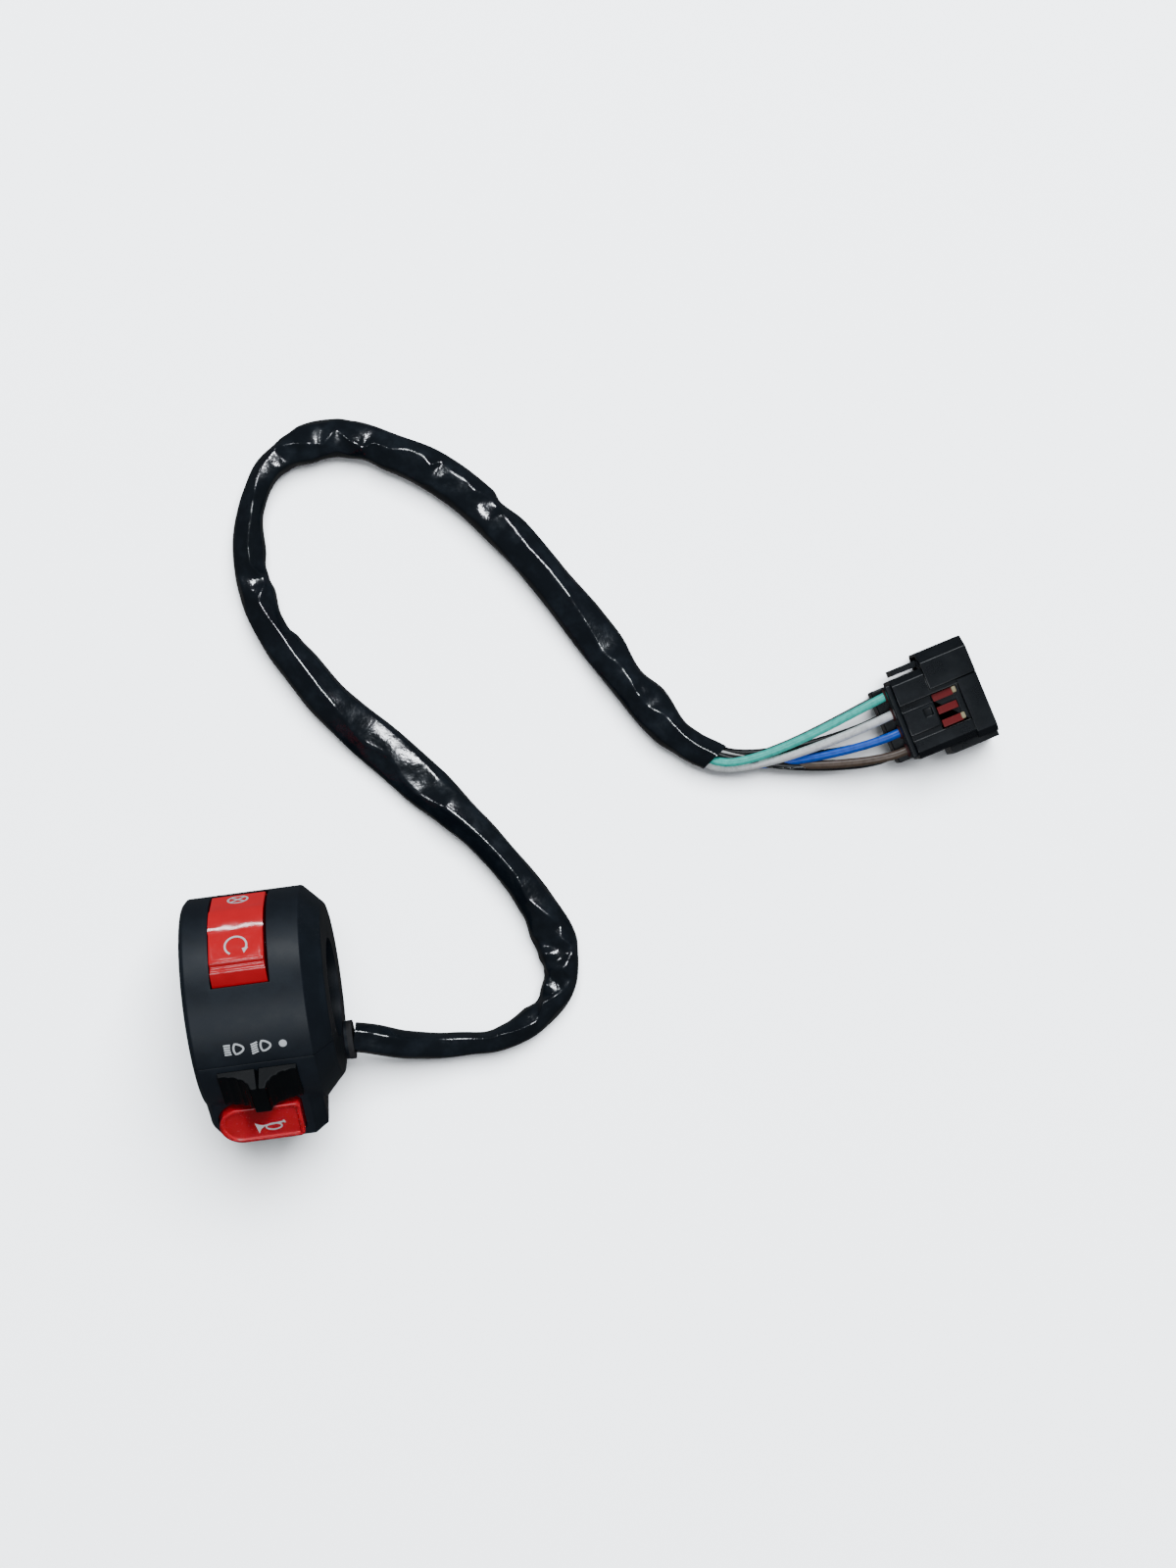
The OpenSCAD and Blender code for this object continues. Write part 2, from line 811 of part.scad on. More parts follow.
module dip_bridge() {
    color("#d8b256")
        around(dip_phi)
            block([dip_x - carriage_half + over, -carriage_depth_half / 2, dip_bridge_z],
                [dip_x + carriage_half - over, carriage_depth_half / 2, dip_carriage_z]);
}

// Base of the slider: a plate with two rails, one of them notched for the ball
module dip_base() {
    rail_y = carriage_depth_half + rail_gap;
    color("#3a3d40")
        around(dip_phi)
            translate([dip_x, 0, 0])
                difference() {
                    block([-dip_base_half, -dip_base_depth_half, dip_base_z],
                        [dip_base_half, dip_base_depth_half, dip_base_top + rail_h]);
                    block([-big, -rail_y, dip_base_top], [big, rail_y, big]);
                    block([-big, 0, dip_ball_z - dip_ball_r],
                        [big, rail_y + ball_show / 2, dip_ball_z + dip_ball_r]);
                    for (i = [-1 : 1])
                        translate([i * slider_travel, rail_y, dip_ball_z - dip_ball_r])
                            cylinder(r = dip_ball_r, h = 2 * dip_ball_r);
                }
}

module dip_contacts() {
    color("#c99a3c")
        around(dip_phi)
            for (i = [-1 : 1])
                translate([dip_x + i * slider_travel, 0, dip_base_top])
                    block([-over, -carriage_depth_half / 2, 0], [over, carriage_depth_half / 2, contact_t]);
}

module dip_ball() {
    color("#d5d7d9")
        around(dip_phi)
            translate([dip_x, dip_ball_y - dip_ball_r, dip_ball_z])
                sphere(r = dip_ball_r);
}

module dip_spring() {
    y1 = dip_ball_y - 2 * dip_ball_r;
    color("#9a9ca0")
        around(dip_phi)
            translate([dip_x, 0, dip_ball_z])
                rotate([-90, 0, 0])
                    coil(dip_ball_r * spring_share, dip_ball_r * spring_wire_share,
                        over + pin_gap, y1, dip_spring_turns);
}

// Horn button: a hollow cap with a dished face and a flange that keeps it in the well
module horn_button() {
    color("#c01420")
        around(horn_phi)
            difference() {
                union() {
                    translate([0, 0, flange_z])
                        horn_outline(0, horn_face_z - flange_z);
                    translate([0, 0, flange_z])
                        horn_outline(horn_flange, horn_flange_t);
                }
                translate([0, 0, horn_face_z - horn_dish])
                    horn_outline(-horn_rim, big);
                translate([0, 0, flange_z - over])
                    horn_outline(-horn_skirt, horn_face_z - horn_skin - flange_z + over);
            }
}

module horn_bridge() {
    y = horn_y - horn_half + horn_skirt / 2;
    color("#d8b256")
        around(horn_phi)
            block([horn_mid_x - horn_bridge_reach, y - horn_bridge_w / 2, flange_z - contact_t],
                [horn_mid_x + horn_bridge_reach, y + horn_bridge_w / 2, flange_z]);
}

module horn_base() {
    color("#3a3d40")
        around(horn_phi) {
            translate([0, 0, horn_base_z])
                horn_outline(well_gap, horn_base_t);
            translate([horn_mid_x, horn_y, horn_base_top - over])
                cylinder(r = horn_post_r, h = over + horn_travel);
        }
}

// Two brass blades under the moving bridge
module horn_contacts() {
    y = horn_y - horn_half + horn_skirt / 2;
    top = flange_z - contact_t - horn_travel - contact_gap;
    color("#c99a3c")
        around(horn_phi)
            for (side = [-1, 1])
                translate([horn_mid_x + side * (horn_bridge_reach - contact_t), y, horn_base_top])
                    block([-contact_t, -horn_bridge_w / 2, 0],
                        [contact_t, horn_bridge_w / 2, top - horn_base_top]);
}

module horn_spring() {
    color("#9a9ca0")
        around(horn_phi)
            translate([horn_mid_x, horn_y, 0])
                coil(horn_spring_r, horn_spring_wire, horn_base_top + pin_gap,
                    horn_face_z - horn_skin - pin_gap, horn_spring_turns);
}

// Small screws that fix the three bases
module base_screws() {
    color("#b9bcc0") {
        around(dip_phi)
            for (side = [-1, 1])
                translate([dip_x + side * (dip_base_half - screw_r / 2 - seat_gap),
                        side * (dip_base_depth_half + carriage_depth_half + rail_gap) / 2,
                        dip_base_top + rail_h])
                    cylinder(r = screw_r / 2, h = screw_r / 2);
        around(horn_phi)
            for (side = [-1, 1])
                translate([horn_mid_x + side * (horn_w / 2 - horn_half), horn_y, horn_base_top])
                    cylinder(r = screw_r / 2, h = screw_r / 2);
    }
}

module cable_grommet() {
    color("#202225")
        around(outlet_phi)
            translate([0, 0, outlet_r])
                difference() {
                    union() {
                        rod(outlet_hole_r, outlet_in_x - over, outlet_x + over);
                        rod(grommet_flange_r, outlet_in_x - grommet_flange_t, outlet_in_x);
                        rod(sleeve_r, outlet_x, sleeve_x);
                    }
                    rod(grommet_bore_r, -big, big);
                }
}

// The route in space: out of the grommet, down to the table, then along it
function route_z(i) = i < len(ROUTE_DROP_SHARE) ? lie_z + (outlet_z - lie_z) * ROUTE_DROP_SHARE[i] : lie_z;
sleeve_path = concat([[sleeve_x, outlet_y, outlet_z]],
    [for (i = [0 : len(ROUTE) - 1]) [ROUTE[i][0], ROUTE[i][1], route_z(i)]]);
end_centre = sleeve_path[len(sleeve_path) - 1];
end_turn = -47;
end_dir = [cos(end_turn), sin(end_turn), 0];

module harness_sleeve() {
    color("#121315")
        sweep_tube(sleeve_path, sleeve_r, sleeve_sides, [1, 0, 0], end_dir);
}

// Where wire k leaves the sleeve, and where it enters the plug
function wire_angle(k) = k * 360 / wire_ring_n + wire_ring_turn;
function wire_start(k) = k == 0 ? end_centre
    : end_centre + wire_ring_r * (cos(wire_angle(k)) * [end_dir[1], -end_dir[0], 0]
        + sin(wire_angle(k)) * [0, 0, 1]);
plug_dir = [cos(plug_turn), sin(plug_turn), 0];
plug_side = [-sin(plug_turn), cos(plug_turn), 0];
function wire_col(c) = (c - (plug_rows - 1) / 2) * wire_pitch;
function wire_row(r) = plug_mid_h + (r - 0.5) * row_pitch;
function wire_end(c, r) =
    [plug_x, plug_y, table_z + wire_row(r)] + rear_x * plug_dir + wire_col(c) * plug_side;
function hermite(a, b, da, db, t) = (2 * t * t * t - 3 * t * t + 1) * a + (t * t * t - 2 * t * t + t) * da
    + (3 * t * t - 2 * t * t * t) * b + (t * t * t - t * t) * db;

module wire(k, c, r) {
    a = wire_start(k);
    b = wire_end(c, r);
    p = [for (i = [0 : wire_rings - 1])
        hermite(a, b, wire_lead * end_dir, wire_lead * plug_dir, i / (wire_rings - 1))];
    sweep_tube(p, wire_r, wire_sides, end_dir, plug_dir);
}

module wire_turquoise() {
    color("#5fd8c2") wire(3, 3, 1);
}

module wire_white() {
    color("#e8e8e4") wire(2, 2, 1);
}

module wire_blue() {
    color("#2a78d6") wire(1, 1, 1);
}

module wire_brown() {
    color("#7a6858") wire(7, 0, 1);
}

module wire_grey() {
    color("#8b8f94") wire(4, 3, 0);
}

module wire_black() {
    color("#1b1c1e") wire(0, 2, 0);
}

module wire_green() {
    color("#3f8f6b") wire(5, 1, 0);
}

module wire_striped() {
    color("#3a3a3c") wire(6, 0, 0);
}

// The frame of the plug: X towards the mating face, Z up from the table
module plug_frame() {
    translate([plug_x, plug_y, table_z])
        rotate([0, 0, plug_turn])
            children();
}

// A box with its four long edges cut off
module plug_box(x0, x1, w, z0, z1, e) {
    prism_x([[-w / 2 + e, z0], [w / 2 - e, z0], [w / 2, z0 + e], [w / 2, z1 - e], [w / 2 - e, z1],
        [-w / 2 + e, z1], [-w / 2, z1 - e], [-w / 2, z0 + e]], x0, x1);
}

// Children at the place of each wire, along the plug
module at_wires() {
    for (c = [0 : plug_rows - 1], r = [0, 1])
        translate([0, wire_col(c), wire_row(r)])
            children();
}

// Hood over the latch, joined to the body and open at both ends
module plug_hood() {
    y1 = body_w / 2 + hood_out;
    z1 = plug_h + hood_up;
    difference() {
        prism_x([[body_w / 2 - plug_edge, hood_foot], [y1 - hood_foot, hood_foot], [y1, 2 * hood_foot],
            [y1, z1 - hood_edge], [y1 - hood_edge, z1], [hood_in, z1], [hood_in, plug_h - over]],
            plug_half - hood_l, plug_half);
        block([plug_half - hood_l - over, body_w / 2 - pin_gap, plug_mid_h - latch_room],
            [plug_half + over, y1 - hood_wall, plug_mid_h + latch_room]);
    }
}

// The channel in the top, which leaves the panel standing in it
module plug_channel() {
    difference() {
        block([-plug_half - over, channel_y0, plug_h - channel_d],
            [plug_half - collar_l, channel_y1, plug_h + over]);
        block([-plug_half - 2 * over, panel_y0, plug_h - channel_d - over],
            [panel_l - plug_half, panel_y1, plug_h - panel_d]);
    }
    translate([vent_x, vent_y, plug_h - panel_d - vent_d])
        block([-vent_w / 2, -vent_w / 2, 0], [vent_w / 2, vent_w / 2, vent_d + over]);
    translate([lock_x, lock_y, lock_z])
        block([-lock_l / 2 - seat_gap, -lock_w / 2 - seat_gap, 0],
            [lock_l / 2 + seat_gap, lock_w / 2 + seat_gap, lock_t + over]);
}

module plug_housing() {
    color("#2a2f34")
        plug_frame()
            difference() {
                union() {
                    difference() {
                        plug_box(-plug_half, plug_half, body_w, 0, plug_h, plug_edge);
                        plug_channel();
                    }
                    plug_hood();
                    for (side = [0, 1])
                        translate([latch_x, body_w / 2 - over, plug_mid_h - latch_w / 2 - ear_w - slide_gap
                                + side * (latch_w + ear_w + 2 * slide_gap)])
                            latch_ear(latch_lift + over);
                }
                block([socket_x, plug_wall - body_w / 2, plug_wall],
                    [plug_half + over, body_w / 2 - plug_wall, socket_top]);
                at_wires() {
                    rod(wire_r + seal_wall, -plug_half - over, -plug_half + seal_l);
                    rod(terminal_w * terminal_room_share, -plug_half, plug_half);
                }
                translate([latch_x, latch_pin_y, plug_mid_h - latch_room])
                    cylinder(r = latch_pin_r + pin_gap, h = 2 * latch_room);
            }
}

// One ear that holds a trunnion of the latch
module latch_ear(h) {
    translate([-ear_w, 0, 0])
        cube([2 * ear_w, h + latch_pin_r - latch_bow, ear_w]);
}

module plug_collar() {
    x0 = plug_half - collar_l;
    x1 = plug_half - skirt_l;
    color("#33393f")
        plug_frame()
            difference() {
                union() {
                    plug_box(x0, plug_half, body_w + 2 * collar_out, 0, plug_h + collar_out, plug_edge);
                    block([x1, -body_w / 2 - skirt_out, skirt_z0], [plug_half, over - body_w / 2, skirt_z1]);
                }
                plug_box(x1 - over, plug_half + over, body_w + pin_gap, -over, plug_h + pin_gap, plug_edge);
                block([x0 - over, hood_in - seat_gap, -over], [plug_half + over, big, big]);
            }
}

// Panel behind the plug that keeps the wire seals in
module plug_rear_cover() {
    color("#262b30")
        plug_frame()
            difference() {
                plug_box(rear_x, -plug_half, body_w - 2 * rear_inset, rear_inset, plug_h - rear_inset,
                    plug_edge);
                at_wires()
                    rod(wire_r + seal_wall, rear_x - over, over - plug_half);
            }
}

// Lock slide with three bars, shown home in the channel
module plug_lock() {
    color("#a8322e")
        plug_frame()
            translate([lock_x, lock_y, lock_z])
                difference() {
                    block([-lock_l / 2, -lock_w / 2, 0], [lock_l / 2, lock_w / 2, lock_t]);
                    for (side = [-1, 1])
                        translate([0, side * lock_pitch / 2, lock_t - lock_groove_d])
                            block([-lock_l / 2 - over, (lock_bar_w - lock_pitch) / 2, 0],
                                [lock_l / 2 + over, (lock_pitch - lock_bar_w) / 2, lock_groove_d + over]);
                }
}

// Latch lever: hooks at the front, a pressed tab at the back, trunnions in the middle
module plug_latch() {
    in_y = latch_pin_y - latch_seat;
    color("#1d2125")
        plug_frame() {
            block([latch_x - latch_l / 2, in_y, plug_mid_h - latch_w / 2],
                [latch_x + latch_l / 2, in_y + latch_t, plug_mid_h + latch_w / 2]);
            block([latch_x - latch_l / 2, in_y, plug_mid_h - latch_w / 2 - ear_w],
                [latch_x - latch_l / 2 + latch_tab_l, in_y + latch_t, plug_mid_h + latch_w / 2 + ear_w]);
            translate([latch_x, latch_pin_y, plug_mid_h - latch_w / 2 - slide_gap - ear_w])
                cylinder(r = latch_pin_r, h = latch_w + 2 * slide_gap + 2 * ear_w);
        }
}

module wire_seals() {
    color("#d8cfae")
        plug_frame()
            at_wires()
                rod(wire_r + seal_wall, rear_x, seal_l - plug_half);
}

module plug_terminals() {
    color("#c9a24a")
        plug_frame()
            at_wires()
                block([seal_l - plug_half, -terminal_w / 2, -terminal_w / 2],
                    [socket_x, terminal_w / 2, terminal_w / 2]);
}

module face_seal() {
    w = body_w / 2 - plug_wall - seat_gap;
    color("#b8443c")
        plug_frame()
            difference() {
                block([socket_x, -w, plug_wall + seat_gap],
                    [socket_x + face_seal_t, w, socket_top - seat_gap]);
                at_wires()
                    rod(terminal_w * terminal_room_share, socket_x - over, socket_x + face_seal_t + over);
            }
}

upper_shell();
lower_shell();
clamp_screws();
thread_inserts();
rocker_button();
rocker_pin();
rocker_base();
rocker_bridge();
rocker_contacts();
rocker_ball();
rocker_spring();
dip_slider();
dip_carriage();
dip_bridge();
dip_base();
dip_contacts();
dip_ball();
dip_spring();
horn_button();
horn_bridge();
horn_base();
horn_contacts();
horn_spring();
base_screws();
cable_grommet();
harness_sleeve();
wire_turquoise();
wire_white();
wire_blue();
wire_brown();
wire_grey();
wire_black();
wire_green();
wire_striped();
plug_housing();
plug_collar();
plug_rear_cover();
plug_lock();
plug_latch();
wire_seals();
plug_terminals();
face_seal();
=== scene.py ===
"""Handlebar switch cluster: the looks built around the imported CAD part.

Each sub-assembly is a class with its sizes as fields, in millimetres, and methods that
build its meshes and dress them. X runs along the bar, Z is up from the table, and the
turn of a feature is its angle about the bar, from +Z towards -Y, as in the part.
"""

import json
import logging
import math
import random
from dataclasses import dataclass
from enum import Enum
from typing import Callable, Dict, List, Optional, Sequence, Tuple, Union

import bmesh
import bpy
from mathutils import Matrix, Vector

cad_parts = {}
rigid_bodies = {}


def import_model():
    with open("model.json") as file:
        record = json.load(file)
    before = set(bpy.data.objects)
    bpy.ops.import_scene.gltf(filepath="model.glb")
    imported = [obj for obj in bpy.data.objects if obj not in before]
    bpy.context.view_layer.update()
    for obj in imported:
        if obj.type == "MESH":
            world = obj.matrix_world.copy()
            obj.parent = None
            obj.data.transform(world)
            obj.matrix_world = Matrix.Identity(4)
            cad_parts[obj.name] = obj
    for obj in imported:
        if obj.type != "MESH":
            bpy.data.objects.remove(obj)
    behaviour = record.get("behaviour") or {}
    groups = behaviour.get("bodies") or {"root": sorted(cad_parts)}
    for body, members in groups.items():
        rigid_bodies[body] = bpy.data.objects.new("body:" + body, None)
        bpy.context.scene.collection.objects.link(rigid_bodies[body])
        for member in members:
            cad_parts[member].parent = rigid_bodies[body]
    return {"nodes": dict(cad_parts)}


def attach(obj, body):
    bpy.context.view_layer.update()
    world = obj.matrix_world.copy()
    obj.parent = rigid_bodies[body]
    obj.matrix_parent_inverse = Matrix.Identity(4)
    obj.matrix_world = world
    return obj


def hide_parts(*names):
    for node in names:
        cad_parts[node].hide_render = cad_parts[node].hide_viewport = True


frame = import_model()

Colour = Tuple[float, float, float]
Point2 = Tuple[float, float]
Point3 = Tuple[float, float, float]
Surface = Callable[[float, float, float], Vector]
Value = Union[float, "Socket"]

LOG = logging.getLogger("switch_cluster")
MM = 0.001
MATERIAL_PREFIX = "look_"
TABLE_Z = -23.5
LEAST_LIFT = 0.02
FLAT_BEND = 0.6
MERGE = 0.001
PLUG_AT: Point3 = (158.7, 44.65, TABLE_Z)
PLUG_TURN = 15.0
HORN_TURN = 38.0


class Body(Enum):
    """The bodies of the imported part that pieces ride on."""

    HOUSING = "housing"
    ROCKER = "rocker"
    DIP = "dip"
    HORN = "horn"


# Shader helpers


class Socket:
    """A shader output whose arithmetic adds Math nodes."""

    def __init__(self, graph: "Graph", link: bpy.types.NodeSocket) -> None:
        """Keeps the graph that the output belongs to, and the output."""
        self.graph = graph
        self.link = link

    def __add__(self, other: Value) -> "Socket":
        """This plus other."""
        return self.graph.math("ADD", self, other)

    def __radd__(self, other: Value) -> "Socket":
        """Other plus this."""
        return self.graph.math("ADD", other, self)

    def __mul__(self, other: Value) -> "Socket":
        """This times other."""
        return self.graph.math("MULTIPLY", self, other)

    def __rmul__(self, other: Value) -> "Socket":
        """Other times this."""
        return self.graph.math("MULTIPLY", other, self)

    def clamp(self, low: float, high: float, start: float = 0.0, end: float = 1.0) -> "Socket":
        """This, mapped smoothly from low and high to start and end."""
        return self.graph.node("ShaderNodeMapRange", {"interpolation_type": "SMOOTHSTEP"},
                               {0: self, 1: low, 2: high, 3: start, 4: end})


class Graph:
    """The node tree of one material, with its surface shader ready."""

    def __init__(self, name: str) -> None:
        """Makes the material.

        Args:
            name: The material's name.
        """
        self.material = bpy.data.materials.new(name)
        self.material.use_nodes = True
        self.tree = self.material.node_tree
        self.surface = self.tree.nodes["Principled BSDF"]

    def node(self, kind: str, settings: Optional[dict] = None,
             inputs: Optional[dict] = None, output: Union[int, str] = 0) -> Socket:
        """Adds any node.

        Args:
            kind: The node's type.
            settings: Its settings, set before its sockets.
            inputs: Values or links of its sockets, by place or name.
            output: The socket that is given back.

        Returns:
            The chosen output.
        """
        made = self.tree.nodes.new(kind)
        for key, value in (settings or {}).items():
            setattr(made, key, value)
        for key, value in (inputs or {}).items():
            if isinstance(value, Socket):
                self.tree.links.new(value.link, made.inputs[key])
            else:
                made.inputs[key].default_value = value
        return Socket(self, made.outputs[output])

    def math(self, operation: str, a: Value, b: Value) -> Socket:
        """A Math node on two values."""
        return self.node("ShaderNodeMath", {"operation": operation}, {0: a, 1: b})

    def mix(self, factor: Value, a: Union[Colour, Socket], b: Union[Colour, Socket]) -> Socket:
        """Turns one colour into another.

        Args:
            factor: How far, from 0 to 1.
            a: The colour at 0.
            b: The colour at 1.

        Returns:
            The mixed colour.
        """
        def rgba(c: Union[Colour, Socket]) -> Union[Tuple[float, ...], Socket]:
            """A colour with its fourth number, or a link as it is."""
            return c if isinstance(c, Socket) else (*c, 1.0)
        return self.node("ShaderNodeMix", {"data_type": "RGBA"},
                         {0: factor, 6: rgba(a), 7: rgba(b)}, 2)

    def noise(self, scale: float, detail: float = 2.0, roughness: float = 0.5) -> Socket:
        """Noise on Object coordinates.

        Args:
            scale: Its cells in a metre.
            detail: Its octaves.
            roughness: How strong the finer octaves are.

        Returns:
            A value of about 0 to 1.
        """
        place = self.node("ShaderNodeTexCoord", output="Object")
        return self.node("ShaderNodeTexNoise", None,
                         {"Vector": place, "Scale": scale, "Detail": detail,
                          "Roughness": roughness})

    def bump(self, height: Socket, strength: float, distance: float,
             under: Optional[Socket] = None) -> Socket:
        """A Bump node.

        Args:
            height: What it is made from.
            strength: Its share.
            distance: Its height, in metres.
            under: The Bump node that it lies over.

        Returns:
            The normal.
        """
        inputs: Dict[str, Union[float, Socket]] = {
            "Height": height, "Strength": strength, "Distance": distance}
        if under is not None:
            inputs["Normal"] = under
        return self.node("ShaderNodeBump", None, inputs)

    def attribute(self, name: str) -> Socket:
        """A number stored on the mesh."""
        return self.node("ShaderNodeAttribute", {"attribute_name": name}, None, "Fac")

    def set(self, **values: Union[float, Colour, Socket]) -> None:
        """Sets or links the surface's sockets.

        Args:
            values: Numbers, colours or links by socket, as Base_Color for Base Color.
        """
        for key, value in values.items():
            socket = self.surface.inputs[key.replace("_", " ")]
            if isinstance(value, Socket):
                self.tree.links.new(value.link, socket)
            elif isinstance(value, tuple):
                socket.default_value = (*value, 1.0)
            else:
                socket.default_value = value


# Finishes


@dataclass(frozen=True)
class Finish:
    """A named finish; each kind of finish makes its own nodes.

    Args:
        name: The finish's name, which is also the record's material slot.
    """

    name: str

    def nodes(self, graph: Graph) -> None:
        """Fills the material's node tree."""
        raise NotImplementedError

    def material(self) -> bpy.types.Material:
        """Makes the finish's material once.

        Its name has a prefix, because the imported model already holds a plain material
        under the slot's own name.

        Returns:
            The material.
        """
        label = MATERIAL_PREFIX + self.name
        found = bpy.data.materials.get(label)
        if found is not None:
            return found
        graph = Graph(label)
        self.nodes(graph)
        return graph.material


@dataclass(frozen=True)
class SatinPlastic(Finish):
    """Moulded plastic with a fine spark-eroded grain and a soft sheen."""

    colour: Colour = (0.009, 0.013, 0.019)
    worn: Colour = (0.016, 0.023, 0.033)
    roughness: float = 0.5
    shine: float = 0.28
    grain: float = 0.35
    grain_depth: float = 0.00004
    grain_scale: float = 5200.0
    grain_worn: float = 0.35
    grain_dull: float = 0.06
    patch_scale: float = 140.0
    patch_worn: float = 0.5
    patch_dull: float = 0.08

    def nodes(self, graph: Graph) -> None:
        """Puts the grain in the bump, and patches in the colour and the roughness.

        Args:
            graph: The material's nodes.
        """
        patches = graph.noise(self.patch_scale, 3.0, 0.6).clamp(0.35, 0.7)
        fine = graph.noise(self.grain_scale, 2.0, 0.6)
        speck = fine.clamp(0.45, 0.75)
        worn = patches * self.patch_worn + speck * self.grain_worn
        dull = patches * self.patch_dull + speck * self.grain_dull
        graph.set(Base_Color=graph.mix(worn, self.colour, self.worn),
                  Roughness=dull + (self.roughness - self.grain_dull),
                  Normal=graph.bump(fine, self.grain, self.grain_depth),
                  Specular_IOR_Level=self.shine)


@dataclass(frozen=True)
class GlossPlastic(Finish):
    """Shiny moulded plastic, a little uneven from the mould."""

    colour: Colour = (0.7, 0.008, 0.018)
    deep: Colour = (0.6, 0.006, 0.014)
    roughness: float = 0.13
    shine: float = 0.38
    coat: float = 0.25
    coat_roughness: float = 0.06
    wave: float = 0.5
    wave_depth: float = 0.0004
    wave_scale: float = 260.0
    scuff_scale: float = 1400.0
    scuff_dull: float = 0.12

    def nodes(self, graph: Graph) -> None:
        """Puts slow waves in the bump, which bend the reflections, and faint scuffs.

        Args:
            graph: The material's nodes.
        """
        waves = graph.noise(self.wave_scale, 1.0, 0.4)
        scuffs = graph.noise(self.scuff_scale, 4.0, 0.7).clamp(0.5, 0.8)
        graph.set(Base_Color=graph.mix(waves, self.colour, self.deep),
                  Roughness=scuffs * self.scuff_dull + self.roughness,
                  Normal=graph.bump(waves, self.wave, self.wave_depth),
                  Coat_Weight=self.coat, Coat_Roughness=self.coat_roughness,
                  Specular_IOR_Level=self.shine)


@dataclass(frozen=True)
class Vinyl(Finish):
    """Thin shiny vinyl: near black, with a wet gloss, faint smears, and a painted sheen of
    lighter bluish patches in its colour.
    """

    colour: Colour = (0.004, 0.006, 0.0085)
    # lit: the lighter bluish colour of the painted sheen patches
    lit: Colour = (0.008, 0.0118, 0.0165)
    roughness: float = 0.13
    shine: float = 0.5
    smear_and_sheen_scale: float = 220.0
    smear_dull: float = 0.14
    dent: float = 0.3
    dent_depth: float = 0.0005
    dent_scale: float = 420.0
    grain: float = 0.08
    grain_depth: float = 0.0001
    grain_scale: float = 2600.0

    def nodes(self, graph: Graph) -> None:
        """Puts smears in the roughness, a painted sheen in the colour where the same smear noise
        is high, and small dents and grain in the bump.

        Args:
            graph: The material's nodes.
        """
        smear_and_sheen = graph.noise(self.smear_and_sheen_scale, 4.0, 0.6).clamp(0.4, 0.75)
        dents = graph.noise(self.dent_scale, 3.0, 0.55)
        fine = graph.noise(self.grain_scale)
        dented = graph.bump(dents, self.dent, self.dent_depth)
        # Painted sheen: where the smear noise is high, the colour turns to the lighter bluish lit
        # colour.
        graph.set(Base_Color=graph.mix(smear_and_sheen, self.colour, self.lit),
                  Roughness=smear_and_sheen * self.smear_dull + self.roughness,
                  Normal=graph.bump(fine, self.grain, self.grain_depth, dented),
                  Specular_IOR_Level=self.shine)


@dataclass(frozen=True)
class Jacket(Finish):
    """A wire's plastic jacket, with a stripe along it where stripe is above 0."""

    colour: Colour = (0.1, 0.1, 0.1)
    second: Colour = (0.6, 0.6, 0.6)
    stripe: float = 0.0
    stripe_edge: float = 0.9
    roughness: float = 0.26
    shine: float = 0.36
    shade: float = 0.72
    scuff: float = 0.12
    scuff_depth: float = 0.0001
    scuff_scale: float = 900.0
    scuff_dull: float = 0.14

    def nodes(self, graph: Graph) -> None:
        """Puts faint scuffs on the jacket, and a stripe on its own turn.

        Args:
            graph: The material's nodes.
        """
        scuffs = graph.noise(self.scuff_scale, 3.0, 0.6)
        shade = tuple(c * self.shade for c in self.colour)
        base = graph.mix(scuffs.clamp(0.35, 0.75), self.colour, shade)
        if self.stripe > 0:
            turn = graph.attribute("turn")
            inner = self.stripe * self.stripe_edge
            start = turn.clamp(0.5 - self.stripe, 0.5 - inner)
            end = turn.clamp(0.5 + inner, 0.5 + self.stripe, 1.0, 0.0)
            base = graph.mix(start * end, base, self.second)
        graph.set(Base_Color=base, Roughness=scuffs * self.scuff_dull + self.roughness,
                  Normal=graph.bump(scuffs, self.scuff, self.scuff_depth),
                  Specular_IOR_Level=self.shine)


@dataclass(frozen=True)
class Rubber(Finish):
    """Moulded rubber: dull, with a dusty bloom."""

    colour: Colour = (0.02, 0.02, 0.022)
    bloom: Colour = (0.05, 0.05, 0.052)
    roughness: float = 0.6
    dust: float = 0.2
    dust_depth: float = 0.0001
    dust_scale: float = 700.0
    dust_dull: float = 0.2

    def nodes(self, graph: Graph) -> None:
        """Puts bloom in the colour, and a soft bump.

        Args:
            graph: The material's nodes.
        """
        dust = graph.noise(self.dust_scale, 4.0, 0.6)
        graph.set(Base_Color=graph.mix(dust.clamp(0.4, 0.8), self.colour, self.bloom),
                  Roughness=dust * self.dust_dull + self.roughness,
                  Normal=graph.bump(dust, self.dust, self.dust_depth))


@dataclass(frozen=True)
class MetalFinish(Finish):
    """Plated or drawn metal with fine draw marks."""

    colour: Colour = (0.6, 0.6, 0.62)
    dull: Colour = (0.45, 0.45, 0.47)
    roughness: float = 0.28
    tarnish_scale: float = 500.0
    mark: float = 0.1
    mark_depth: float = 0.00005
    mark_scale: float = 3500.0
    mark_dull: float = 0.14

    def nodes(self, graph: Graph) -> None:
        """Puts draw marks in the roughness, and tarnish in the colour.

        Args:
            graph: The material's nodes.
        """
        tarnish = graph.noise(self.tarnish_scale, 4.0, 0.65)
        marks = graph.noise(self.mark_scale)
        graph.set(Base_Color=graph.mix(tarnish.clamp(0.35, 0.75), self.colour, self.dull),
                  Metallic=1.0, Roughness=marks * self.mark_dull + self.roughness,
                  Normal=graph.bump(marks, self.mark, self.mark_depth))


